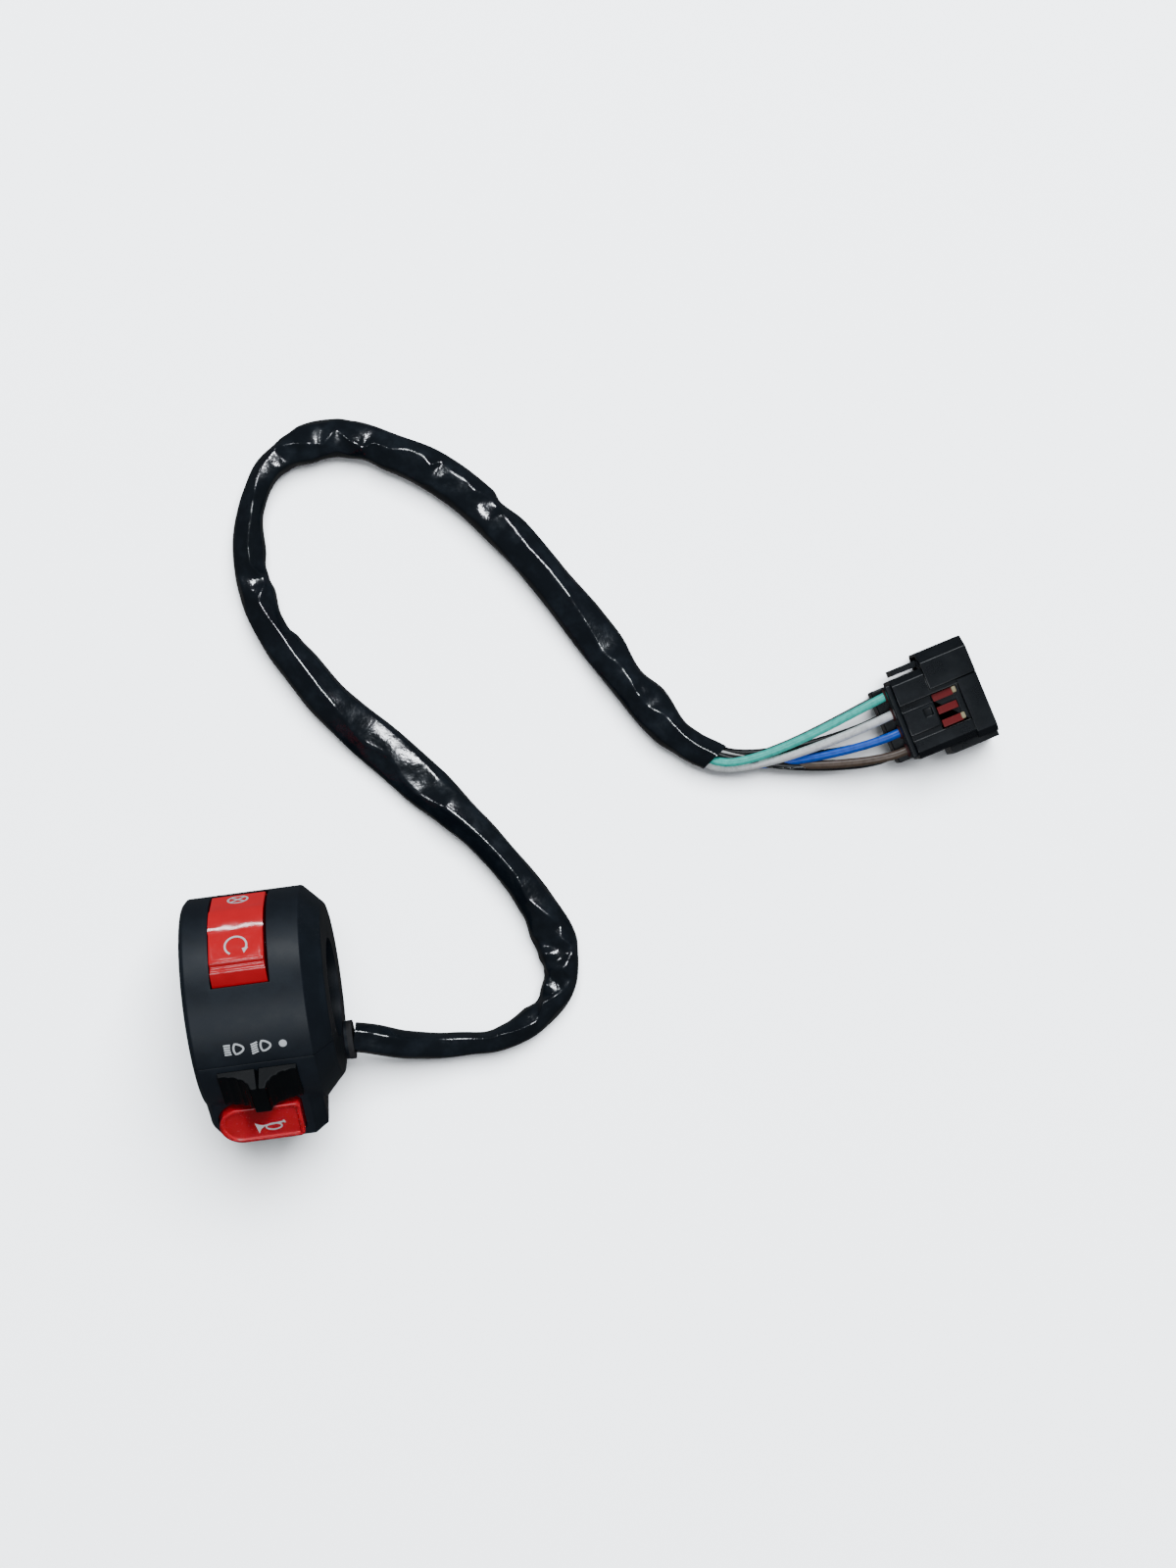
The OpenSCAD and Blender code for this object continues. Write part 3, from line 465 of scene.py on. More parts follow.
@dataclass(frozen=True)
class Print(Finish):
    """Pad-printed ink with a faintly uneven cover."""

    colour: Colour = (0.86, 0.89, 0.91)
    thin: Colour = (0.74, 0.79, 0.82)
    roughness: float = 0.4
    cover: float = 0.05
    cover_depth: float = 0.00002
    cover_scale: float = 2400.0
    cover_dull: float = 0.15

    def nodes(self, graph: Graph) -> None:
        """Puts the uneven cover in the colour and the roughness.

        Args:
            graph: The material's nodes.
        """
        cover = graph.noise(self.cover_scale, 3.0, 0.6)
        graph.set(Base_Color=graph.mix(cover.clamp(0.4, 0.8), self.colour, self.thin),
                  Roughness=cover * self.cover_dull + self.roughness,
                  Normal=graph.bump(cover, self.cover, self.cover_depth))


HOUSING_BLACK = SatinPlastic("housing_black")
SLIDER_BLACK = SatinPlastic("slider_black", colour=(0.0024, 0.0031, 0.004),
                            worn=(0.005, 0.0065, 0.0083), roughness=0.46, shine=0.12, grain=0.2)
PLUG_BLACK = SatinPlastic("plug_black", colour=(0.0065, 0.0085, 0.011),
                          worn=(0.0115, 0.015, 0.019), roughness=0.33, shine=0.3, grain=0.18)
LOCK_RED = SatinPlastic("lock_red", colour=(0.2, 0.012, 0.014), worn=(0.14, 0.009, 0.011),
                        roughness=0.42, shine=0.25)
INNER_NYLON = SatinPlastic("inner_nylon", colour=(0.045, 0.048, 0.052),
                           worn=(0.07, 0.075, 0.08))
CARRIAGE_WHITE = SatinPlastic("carriage_white", colour=(0.72, 0.7, 0.64),
                              worn=(0.62, 0.6, 0.54), roughness=0.42)
ROCKER_RED = GlossPlastic("rocker_red")
# The horn button is the same red as the rocker; its colour and deep colour here are set far
# darker than the rocker's, which is painted shade.
HORN_RED_SHADED = GlossPlastic("horn_red", colour=(0.26, 0.0035, 0.008), deep=(0.22, 0.003, 0.0065),
                        roughness=0.22, wave=0.12)
BRASS = MetalFinish("brass", colour=(0.72, 0.52, 0.22), dull=(0.55, 0.38, 0.16))
BRIGHT_STEEL = MetalFinish("bright_steel", colour=(0.68, 0.69, 0.7), roughness=0.16)
SPRING_STEEL = MetalFinish("spring_steel", colour=(0.42, 0.42, 0.44), dull=(0.3, 0.3, 0.32),
                           roughness=0.32)
ZINC_STEEL = MetalFinish("zinc_steel", colour=(0.58, 0.6, 0.62), roughness=0.34)
GROMMET_RUBBER = Rubber("grommet_rubber")
SEAL_CREAM = Rubber("seal_cream", colour=(0.42, 0.36, 0.2), bloom=(0.5, 0.44, 0.28))
SEAL_RED = Rubber("seal_red", colour=(0.045, 0.005, 0.005), bloom=(0.06, 0.01, 0.009))
SLEEVE_PVC = Vinyl("sleeve_pvc")
WIRE_TURQUOISE = Jacket("wire_turquoise", colour=(0.06, 0.78, 0.64))
WIRE_WHITE = Jacket("wire_white", colour=(0.97, 0.98, 0.98))
WIRE_BLUE = Jacket("wire_blue", colour=(0.001, 0.1, 0.68))
WIRE_BROWN = Jacket("wire_brown", colour=(0.12, 0.085, 0.062))
WIRE_GREY = Jacket("wire_grey", colour=(0.12, 0.13, 0.14))
WIRE_BLACK = Jacket("wire_black", colour=(0.012, 0.013, 0.015))
WIRE_GREEN = Jacket("wire_green", colour=(0.01, 0.1, 0.055))
WIRE_STRIPED = Jacket("wire_striped", colour=(0.014, 0.015, 0.017), second=(0.8, 0.81, 0.8),
                      stripe=0.07)
PRINT_WHITE = Print("print_white")

FINISHED_NODES: Tuple[Tuple[Finish, Tuple[str, ...]], ...] = (
    (HOUSING_BLACK, ("upper_shell", "lower_shell")),
    (ROCKER_RED, ("rocker_button",)),
    (SLIDER_BLACK, ("dip_slider",)),
    (HORN_RED_SHADED, ("horn_button",)),
    (PLUG_BLACK, ("plug_housing", "plug_collar", "plug_rear_cover", "plug_latch")),
    (LOCK_RED, ("plug_lock",)),
    (INNER_NYLON, ("rocker_base", "dip_base", "horn_base")),
    (CARRIAGE_WHITE, ("dip_carriage",)),
    (BRASS, ("thread_inserts", "rocker_bridge", "rocker_contacts", "dip_bridge", "dip_contacts",
             "horn_bridge", "horn_contacts", "plug_terminals")),
    (BRIGHT_STEEL, ("rocker_pin", "rocker_ball", "dip_ball")),
    (SPRING_STEEL, ("rocker_spring", "dip_spring", "horn_spring")),
    (ZINC_STEEL, ("clamp_screws", "base_screws")),
    (GROMMET_RUBBER, ("cable_grommet",)),
    (SEAL_RED, ("wire_seals", "face_seal")),
    (SLEEVE_PVC, ("harness_sleeve",)),
    *((wire, (wire.name,)) for wire in (WIRE_TURQUOISE, WIRE_WHITE, WIRE_BLUE, WIRE_BROWN,
                                        WIRE_GREY, WIRE_BLACK, WIRE_GREEN, WIRE_STRIPED)))


# Mesh helpers


def turned(angle: float, offset: Point3 = (0.0, 0.0, 0.0)) -> Matrix:
    """The frame of a feature at an angle about the bar, moved by an offset in that frame."""
    return Matrix.Rotation(math.radians(angle), 4, "X") @ Matrix.Translation(offset)


def emit(name: str, work: bmesh.types.BMesh, finish: Finish, body: Body,
         replaces: Sequence[str] = (), sharp: float = 34.0,
         weighted: bool = True) -> bpy.types.Object:
    """Turns a mesh in millimetres into a dressed object that rides on a body.

    Args:
        name: The piece's name.
        work: Its mesh, freed here.
        finish: Its finish.
        body: The body that it rides on.
        replaces: The CAD nodes that it stands for.
        sharp: Edges that bend by more than this many degrees stay hard.
        weighted: Whether large faces keep their own normals at rounded edges.

    Returns:
        The object.
    """
    bmesh.ops.scale(work, vec=(MM, MM, MM), verts=work.verts)
    for face in work.faces:
        face.smooth = True
    for edge in work.edges:
        bend = edge.calc_face_angle(math.pi) if len(edge.link_faces) == 2 else math.pi
        edge.smooth = bend < math.radians(sharp)
    data = bpy.data.meshes.new(name)
    work.to_mesh(data)
    work.free()
    data.materials.append(finish.material())
    made = bpy.data.objects.new(name, data)
    bpy.context.scene.collection.objects.link(made)
    if weighted:
        modifier = made.modifiers.new("weighted", "WEIGHTED_NORMAL")
        modifier.keep_sharp = True
    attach(made, body.value)
    if replaces:
        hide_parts(*replaces)
    LOG.info("built %s", name)
    return made


def cad_copy(node: str) -> bmesh.types.BMesh:
    """Copies a CAD node's mesh, with its loose triangles merged into whole flat faces.

    Args:
        node: The node's name.

    Returns:
        The mesh, in millimetres.
    """
    work = bmesh.new()
    work.from_mesh(frame["nodes"][node].data)
    bmesh.ops.scale(work, vec=(1 / MM, 1 / MM, 1 / MM), verts=work.verts)
    bmesh.ops.remove_doubles(work, verts=work.verts, dist=MERGE)
    bmesh.ops.dissolve_limit(work, angle_limit=math.radians(FLAT_BEND), verts=work.verts,
                             edges=work.edges)
    return work


def bevel(work: bmesh.types.BMesh, edges: Sequence[bmesh.types.BMEdge], width: float,
          segments: int) -> None:
    """Rounds edges of a mesh.

    Args:
        work: The mesh.
        edges: The edges.
        width: How far the rounding reaches.
        segments: How many faces it has.
    """
    bmesh.ops.bevel(work, geom=edges, offset=width, offset_type="OFFSET", segments=segments,
                    profile=0.5, affect="EDGES", clamp_overlap=False, material=-1)


def soften(work: bmesh.types.BMesh, width: float, segments: int, least_bend: float = 28.0,
           least_length: float = 0.3,
           chosen: Callable[[bmesh.types.BMEdge], bool] = lambda edge: True) -> None:
    """Rounds the hard edges of a mesh.

    Args:
        work: The mesh.
        width: How far the rounding reaches.
        segments: How many faces it has.
        least_bend: Only edges that bend more than this many degrees are rounded.
        least_length: Only edges longer than this are rounded.
        chosen: Says whether an edge takes part.
    """
    edges = [edge for edge in work.edges
             if len(edge.link_faces) == 2
             and edge.calc_face_angle(0.0) > math.radians(least_bend)
             and edge.calc_length() > least_length and chosen(edge)]
    if edges:
        bevel(work, edges, width, segments)


def upright(edge: bmesh.types.BMEdge, least: float) -> bool:
    """Whether an edge rises by more than so many millimetres."""
    return abs(edge.verts[0].co.z - edge.verts[1].co.z) > least


def box(work: bmesh.types.BMesh, low: Sequence[float],
        high: Sequence[float]) -> List[bmesh.types.BMVert]:
    """Adds a box.

    Args:
        work: The mesh that it is added to.
        low: Its lowest corner.
        high: Its highest corner.

    Returns:
        Its corners.
    """
    size = [h - l for l, h in zip(low, high)]
    middle = [(h + l) / 2 for l, h in zip(low, high)]
    matrix = Matrix.Translation(middle) @ Matrix.Diagonal((*size, 1.0))
    return bmesh.ops.create_cube(work, size=1.0, matrix=matrix)["verts"]


def extruded(outline: Sequence[Point2], start: float, end: float) -> bmesh.types.BMesh:
    """Makes a prism along Y.

    Args:
        outline: Its outline in X and Z.
        start: Where it starts.
        end: Where it ends.

    Returns:
        The mesh.
    """
    work = bmesh.new()
    ring = [work.verts.new((x, start, z)) for x, z in outline]
    face = work.faces.new(ring)
    grown = bmesh.ops.extrude_face_region(work, geom=[face])["geom"]
    moved = [item for item in grown if isinstance(item, bmesh.types.BMVert)]
    bmesh.ops.translate(work, verts=moved, vec=(0.0, end - start, 0.0))
    bmesh.ops.recalc_face_normals(work, faces=work.faces)
    return work


def cut(work: bmesh.types.BMesh, point: Point3, normal: Point3) -> None:
    """Cuts every face that a plane crosses, and keeps both halves."""
    bmesh.ops.bisect_plane(work, geom=[*work.verts, *work.edges, *work.faces],
                           dist=0.0005, plane_co=point, plane_no=normal)


def rolled_sheet(rows: int, columns: int,
                 place: Callable[[int, int], Vector]) -> bmesh.types.BMesh:
    """Rolls a grid up into a closed tube, open at both ends.

    Args:
        rows: Rings less one.
        columns: Points round each ring.
        place: The place of a point from its ring and its column.

    Returns:
        The mesh, with each point's turn as an attribute.
    """
    work = bmesh.new()
    bmesh.ops.create_grid(work, x_segments=columns, y_segments=rows, size=0.5)
    turn = work.verts.layers.float.new("turn")
    for vert in work.verts:
        column = round((vert.co.x + 0.5) * columns)
        row = round((vert.co.y + 0.5) * rows)
        vert[turn] = column / columns
        vert.co = place(row, column % columns)
    bmesh.ops.remove_doubles(work, verts=work.verts, dist=0.0002)
    bmesh.ops.recalc_face_normals(work, faces=work.faces)
    return work


def cap_ends(work: bmesh.types.BMesh) -> None:
    """Closes the open ends of a tube."""
    rim = [edge for edge in work.edges if len(edge.link_faces) == 1]
    bmesh.ops.holes_fill(work, edges=rim, sides=0)


def spline(points: Sequence[Vector], steps: int) -> List[Vector]:
    """Draws a smooth line through points.

    Args:
        points: The points.
        steps: The steps between each two of them.

    Returns:
        The line.
    """
    ends = [points[0] * 2 - points[1], *points, points[-1] * 2 - points[-2]]
    line: List[Vector] = []
    for a, b, c, d in zip(ends, ends[1:], ends[2:], ends[3:]):
        for step in range(steps):
            t = step / steps
            line.append(0.5 * (2 * b + (c - a) * t + (2 * a - 5 * b + 4 * c - d) * t * t
                               + (3 * b - 3 * c + d - a) * t * t * t))
    line.append(points[-1].copy())
    return line


def resampled(line: Sequence[Vector], count: int) -> List[Vector]:
    """Places points at equal distances along a line.

    Args:
        line: The line.
        count: How many points are wanted.

    Returns:
        The points.
    """
    along = [0.0]
    for a, b in zip(line, line[1:]):
        along.append(along[-1] + (b - a).length)
    made: List[Vector] = []
    place = 0
    for index in range(count):
        target = along[-1] * index / (count - 1)
        while place < len(line) - 2 and along[place + 1] < target:
            place += 1
        span = max(along[place + 1] - along[place], 1e-9)
        made.append(line[place].lerp(line[place + 1], min(1.0, (target - along[place]) / span)))
    return made


def length_of(line: Sequence[Vector]) -> float:
    """The length of a line."""
    return sum((b - a).length for a, b in zip(line, line[1:]))


def in_metres(line: Sequence[Vector]) -> List[Tuple[float, ...]]:
    """A line in metres, as plain numbers."""
    return [tuple(point * MM) for point in line]


def table_value(table: Sequence[Point2], at: float, smooth: bool = True) -> float:
    """Reads a table of places and values.

    Args:
        table: The table, its places in order.
        at: The place to read.
        smooth: Whether the value eases in and out between two places.

    Returns:
        The value there.
    """
    if at <= table[0][0]:
        return table[0][1]
    for (x0, y0), (x1, y1) in zip(table, table[1:]):
        if at <= x1:
            t = (at - x0) / (x1 - x0)
            if smooth:
                t = t * t * (3 - 2 * t)
            return y0 + (y1 - y0) * t
    return table[-1][1]


# Cords


@dataclass(frozen=True)
class Crease:
    """A fold across part of the sleeve's side.

    Args:
        share: Its place along the sleeve, from 0 to 1.
        angle: Its place round the sleeve, in degrees from the right-hand side.
        depth: How deep it is.
        reach: Its half length along the sleeve.
        spread: Its half width round the sleeve, in degrees.
        skew: How far it leans along the sleeve for each degree round it.
    """

    share: float
    angle: float
    depth: float
    reach: float
    spread: float
    skew: float

    def dent(self, along: float, length: float, angle: float) -> float:
        """How far the wall is pressed in.

        Args:
            along: A place along the sleeve, in millimetres.
            length: The sleeve's length.
            angle: A place round it, in degrees.

        Returns:
            The depth at that place, in millimetres.
        """
        turn = angle - self.angle
        aside = abs(turn) / self.spread
        if aside >= 1.0:
            return 0.0
        away = abs(along - self.share * length - self.skew * turn) / self.reach
        if away >= 1.0:
            return 0.0
        return self.depth * (1.0 - away) * (1.0 - aside * aside)


@dataclass
class Sleeve:
    """The thin vinyl sleeve over the harness, pressed flat and creased where it bends.

    left_half, right_half and ridge give its half widths and the place of its top ridge,
    from -1 at the left edge to 1 at the right, by share of its length. Each corner row is an
    angle, how far it follows the ridge and the sway, and how soft it is.
    """

    outlet: Point3 = (17.1, -12.93, -11.64)
    radius: float = 4.4
    drop: Tuple[float, ...] = (0.93, 0.62, 0.24, 0.04)
    rings: int = 660
    route_steps: int = 16
    wall: float = 0.4
    mouth: float = 9.0
    mouth_rows: int = 12
    mouth_slant: float = 0.3
    fuller: float = 0.3
    fuller_right: float = 0.15
    least_high: float = 2.75
    most_high: float = 4.1
    least_reach: float = 0.35
    most_dent: float = 1.7
    fold_margin: float = 9.0
    level: float = 0.6
    ridge_limit: float = 0.93
    route: Tuple[Point2, ...] = (
        (22, -14), (28, -16), (35, -17.5), (42, -18), (50, -18), (58.5, -14), (64.5, -6.5),
        (65.5, 2.5), (61.5, 12), (55.5, 22.5), (48.5, 32), (41.5, 40), (33.5, 49.5),
        (25.5, 58.5), (18, 68), (11.5, 78.5), (7.5, 90.5), (7.5, 103), (11.5, 114), (20, 121),
        (31, 122.5), (42.5, 118.5), (52.5, 111.5), (61, 103), (68.5, 93.5), (75, 83.5),
        (81, 73.5), (87, 63), (93.5, 53), (100.5, 44), (106.5, 39.5))
    left_half: Tuple[Point2, ...] = (
        (0.0, 3.5), (0.04, 3.0), (0.07, 2.7), (0.09, 2.2), (0.11, 2.8), (0.13, 3.2), (0.14, 2.4),
        (0.16, 3.2), (0.18, 4.9), (0.2, 5.3), (0.22, 3.8), (0.24, 3.4), (0.28, 3.5), (0.31, 4.2),
        (0.34, 5.0), (0.38, 5.2), (0.42, 4.7), (0.46, 3.8), (0.5, 3.8), (0.54, 3.6), (0.58, 3.2),
        (0.6, 4.0), (0.61, 3.9), (0.62, 4.4), (0.63, 5.1), (0.65, 5.1), (0.66, 4.6), (0.69, 3.9),
        (0.72, 4.8), (0.76, 4.8), (0.77, 3.8), (0.79, 4.6), (0.83, 4.3), (0.87, 4.9), (0.89, 5.1),
        (0.92, 3.6), (0.94, 4.7), (0.97, 3.0), (0.98, 3.3), (1.0, 3.4))
    right_half: Tuple[Point2, ...] = (
        (0.0, 2.9), (0.02, 3.2), (0.06, 2.8), (0.1, 2.4), (0.13, 3.0), (0.16, 4.0), (0.18, 3.9),
        (0.19, 4.3), (0.22, 4.1), (0.26, 3.6), (0.29, 4.0), (0.33, 5.2), (0.38, 5.1), (0.42, 4.3),
        (0.45, 4.7), (0.47, 4.2), (0.48, 3.3), (0.49, 3.3), (0.51, 4.2), (0.52, 3.6), (0.53, 3.3),
        (0.54, 3.7), (0.57, 2.4), (0.6, 1.9), (0.61, 2.4), (0.63, 3.7), (0.65, 3.5), (0.66, 3.7),
        (0.67, 3.5), (0.69, 4.4), (0.75, 4.1), (0.78, 4.4), (0.83, 4.2), (0.88, 4.5), (0.92, 4.3),
        (0.95, 4.7), (0.96, 4.6), (0.98, 3.6), (1.0, 3.4))
    ridge: Tuple[Point2, ...] = (
        (0.0, -0.6), (0.03, -0.5), (0.057, -0.7), (0.08, -0.6), (0.104, -0.5), (0.132, 0.2),
        (0.144, -0.5), (0.157, 0.4), (0.166, 0.7), (0.172, 0.15), (0.182, 0.75), (0.186, 0.7),
        (0.192, 0.2), (0.2, 0.5), (0.226, -0.24), (0.246, 0.06), (0.281, 0.0), (0.31, -0.15),
        (0.332, -0.5), (0.348, -0.45), (0.363, -0.1), (0.383, -0.4), (0.41, -0.1), (0.44, 0.15),
        (0.481, 0.4), (0.493, 0.2), (0.504, 0.0), (0.51, 0.3), (0.516, 0.74), (0.521, 0.79),
        (0.531, 0.1), (0.544, 0.0), (0.563, 0.16), (0.58, -0.07), (0.59, -0.4), (0.611, -0.8),
        (0.625, -0.2), (0.641, 0.3), (0.651, -0.5), (0.66, 0.1), (0.67, 0.45), (0.676, -0.1),
        (0.688, 0.0), (0.7, -0.4), (0.71, -0.44), (0.718, -0.2), (0.723, -0.7), (0.731, -0.45),
        (0.744, -0.55), (0.752, -0.4), (0.764, -0.8), (0.772, -0.85), (0.776, -0.6),
        (0.783, -0.45), (0.806, -0.25), (0.826, -0.34), (0.842, -0.3), (0.859, -0.17),
        (0.879, 0.0), (0.892, 0.14), (0.91, -0.23), (0.919, -0.12), (0.93, 0.13), (0.943, 0.14),
        (0.955, -0.3), (0.971, -0.22), (1.0, -0.16))
    steps_between: Tuple[float, ...] = (0.0, 0.1, 0.2, 0.35, 0.55, 0.75, 0.88)
    folds: Tuple[Crease, ...] = (
        Crease(0.012, 100, 0.6, 3.0, 60, 0.02), Crease(0.137, 110, 0.7, 2.4, 65, 0.03),
        Crease(0.149, 130, 0.9, 2.2, 70, -0.03), Crease(0.163, 120, 0.9, 2.4, 75, 0.035),
        Crease(0.176, 140, 0.8, 2.2, 70, -0.02), Crease(0.189, 115, 0.8, 2.8, 70, 0.04),
        Crease(0.33, 70, 0.5, 6.0, 50, 0.03), Crease(0.365, 120, 0.5, 7.0, 45, -0.05),
        Crease(0.508, 140, 0.5, 3.6, 50, 0.03), Crease(0.525, 60, 0.4, 4.0, 50, -0.05),
        Crease(0.61, 95, 0.5, 2.0, 40, 0.0), Crease(0.636, 75, 0.5, 1.8, 60, 0.03),
        Crease(0.655, 100, 0.5, 2.0, 60, -0.03), Crease(0.674, 100, 0.6, 2.4, 45, 0.0),
        Crease(0.72, 120, 0.4, 3.5, 40, -0.04), Crease(0.766, 130, 0.5, 4.0, 50, 0.04),
        Crease(0.913, 130, 0.6, 3.0, 50, 0.02), Crease(0.957, 100, 0.5, 4.0, 50, -0.03))
    corner_rows: Tuple[Tuple[float, float, float, float], ...] = (
        (-8.0, 0.0, 5.0, 0.45), (0.0, 0.32, 4.0, 0.4), (0.0, 1.0, 0.0, 0.08),
        (122.4, 0.32, -4.0, 0.4), (186.0, 0.0, -4.0, 0.45), (238.0, 0.0, 0.0, 0.8),
        (300.0, 0.0, 0.0, 0.8))
    small_folds: int = 14
    small_angle: Point2 = (10.0, 170.0)
    small_depth: Point2 = (0.1, 0.26)
    small_reach: Point2 = (3.0, 8.0)
    small_spread: Point2 = (25.0, 60.0)
    small_skew: Point2 = (-0.09, 0.09)
    seed: int = 7

    def centre_line(self) -> List[Vector]:
        """Draws the middle of the sleeve as packed.

        Returns:
            The line, with one point for each ring.
        """
        lie = TABLE_Z + self.radius
        points = [Vector(self.outlet)]
        for index, (x, y) in enumerate(self.route):
            share = self.drop[index] if index < len(self.drop) else 0.0
            points.append(Vector((x, y, lie + (self.outlet[2] - lie) * share)))
        return resampled(spline(points, self.route_steps), self.rings + 1)

    def corners(self, share: float) -> List[Point2]:
        """Places the corners of a ring.

        Args:
            share: The ring's place along the sleeve, from 0 to 1.

        Returns:
            Each corner's angle in degrees, and how soft it is.
        """
        sway = math.sin(share * 61.0) + 0.7 * math.sin(share * 137.0 + 1.0)
        across = table_value(self.ridge, share, False)
        ridge = math.degrees(math.acos(max(-self.ridge_limit, min(self.ridge_limit, across))))
        return [(angle + follow * ridge + swayed * sway, soft)
                for angle, follow, swayed, soft in self.corner_rows]

    def all_folds(self) -> List[Crease]:
        """Adds seeded small folds to the folds seen in the photograph.

        Returns:
            The folds.
        """
        chance = random.Random(self.seed)
        folds = list(self.folds)
        for _ in range(self.small_folds):
            folds.append(Crease(chance.random(), chance.uniform(*self.small_angle),
                                chance.uniform(*self.small_depth),
                                chance.uniform(*self.small_reach),
                                chance.uniform(*self.small_spread),
                                chance.uniform(*self.small_skew)))
        return folds

    def build(self) -> Tuple[bpy.types.Object, List[Vector]]:
        """Makes the sleeve, its end open with the wall turned in.

        Returns:
            The sleeve and its centre line.
        """
        line = self.centre_line()
        length = length_of(line)
        folds = self.all_folds()
        table = [self._ring(line, ring, length, folds) for ring in range(self.rings + 1)]
        columns = len(table[0])
        for extra in range(self.mouth_rows + 1):
            back = self.rings - round(extra * self.mouth / length * self.rings / self.mouth_rows)
            middle = sum(table[back], Vector()) / columns
            table.append([p + (middle - p).normalized() * self.wall for p in table[back]])
        work = rolled_sheet(len(table) - 1, columns, lambda row, column: table[row][column])
        cap_ends(work)
        bmesh.ops.recalc_face_normals(work, faces=work.faces)
        made = emit("sleeve", work, SLEEVE_PVC, Body.HOUSING, ["harness_sleeve"], 80.0, False)
        return made, line

    def _ring(self, line: List[Vector], ring: int, length: float,
              folds: List[Crease]) -> List[Vector]:
        """Places the points of one ring.

        Args:
            line: The centre line.
            ring: The ring's number.
            length: The sleeve's length.
            folds: The folds.

        Returns:
            The points.
        """
        share = ring / self.rings
        along = share * length
        ahead = (line[min(ring + 1, self.rings)] - line[max(ring - 1, 0)])
        ahead.z *= self.level
        ahead.normalize()
        right = ahead.cross(Vector((0, 0, 1))).normalized()
        up = right.cross(ahead)
        left_half = table_value(self.left_half, share) + self.fuller
        right_half = table_value(self.right_half, share) + self.fuller_right
        mean = (left_half + right_half) / 2
        high = math.sqrt(max(2 * self.radius ** 2 - mean ** 2, 0.0))
        high = min(max(high, self.least_high), self.most_high)
        centre = line[ring].copy()
        centre.z += high - self.radius
        near = [f for f in folds if abs(f.share - share) * length < f.reach + self.fold_margin]
        slant = self.mouth_slant * max(0.0, 1.0 - (length - along) / self.mouth)

        def edge(angle: float) -> Vector:
            """The smooth outline at an angle, in the ring's plane."""
            c, s = math.cos(math.radians(angle)), math.sin(math.radians(angle))
            return Vector((c * (right_half if c > 0 else left_half), s * high, 0.0))

        corners = self.corners(share)
        made: List[Vector] = []
        for index, (angle0, soft0) in enumerate(corners):
            angle1, soft1 = corners[(index + 1) % len(corners)]
            if angle1 < angle0:
                angle1 += 360.0
            first, second = edge(angle0), edge(angle1)
            for t in self.steps_between:
                angle = angle0 + (angle1 - angle0) * t
                soft = soft0 + (soft1 - soft0) * t
                flat = first.lerp(second, t).lerp(edge(angle), soft)
                inward = min(sum(f.dent(along, length, angle % 360.0) for f in near),
                             self.most_dent)
                flat *= max(self.least_reach, 1.0 - inward / max(flat.length, 0.1))
                point = centre + right * flat.x + up * flat.y - ahead * (slant * flat.x)
                point.z = max(point.z, TABLE_Z + LEAST_LIFT)
                made.append(point)
        return made


@dataclass(frozen=True)
class Wire:
    """One wire between the sleeve and the plug.

    Args:
        finish: Its jacket's finish, named as its CAD node.
        offset: Its place in the sleeve's mouth, to the right and up.
        column: Its place in the plug, across.
        row: Its place in the plug, up.
    """

    finish: Finish
    offset: Point2
    column: int
    row: int


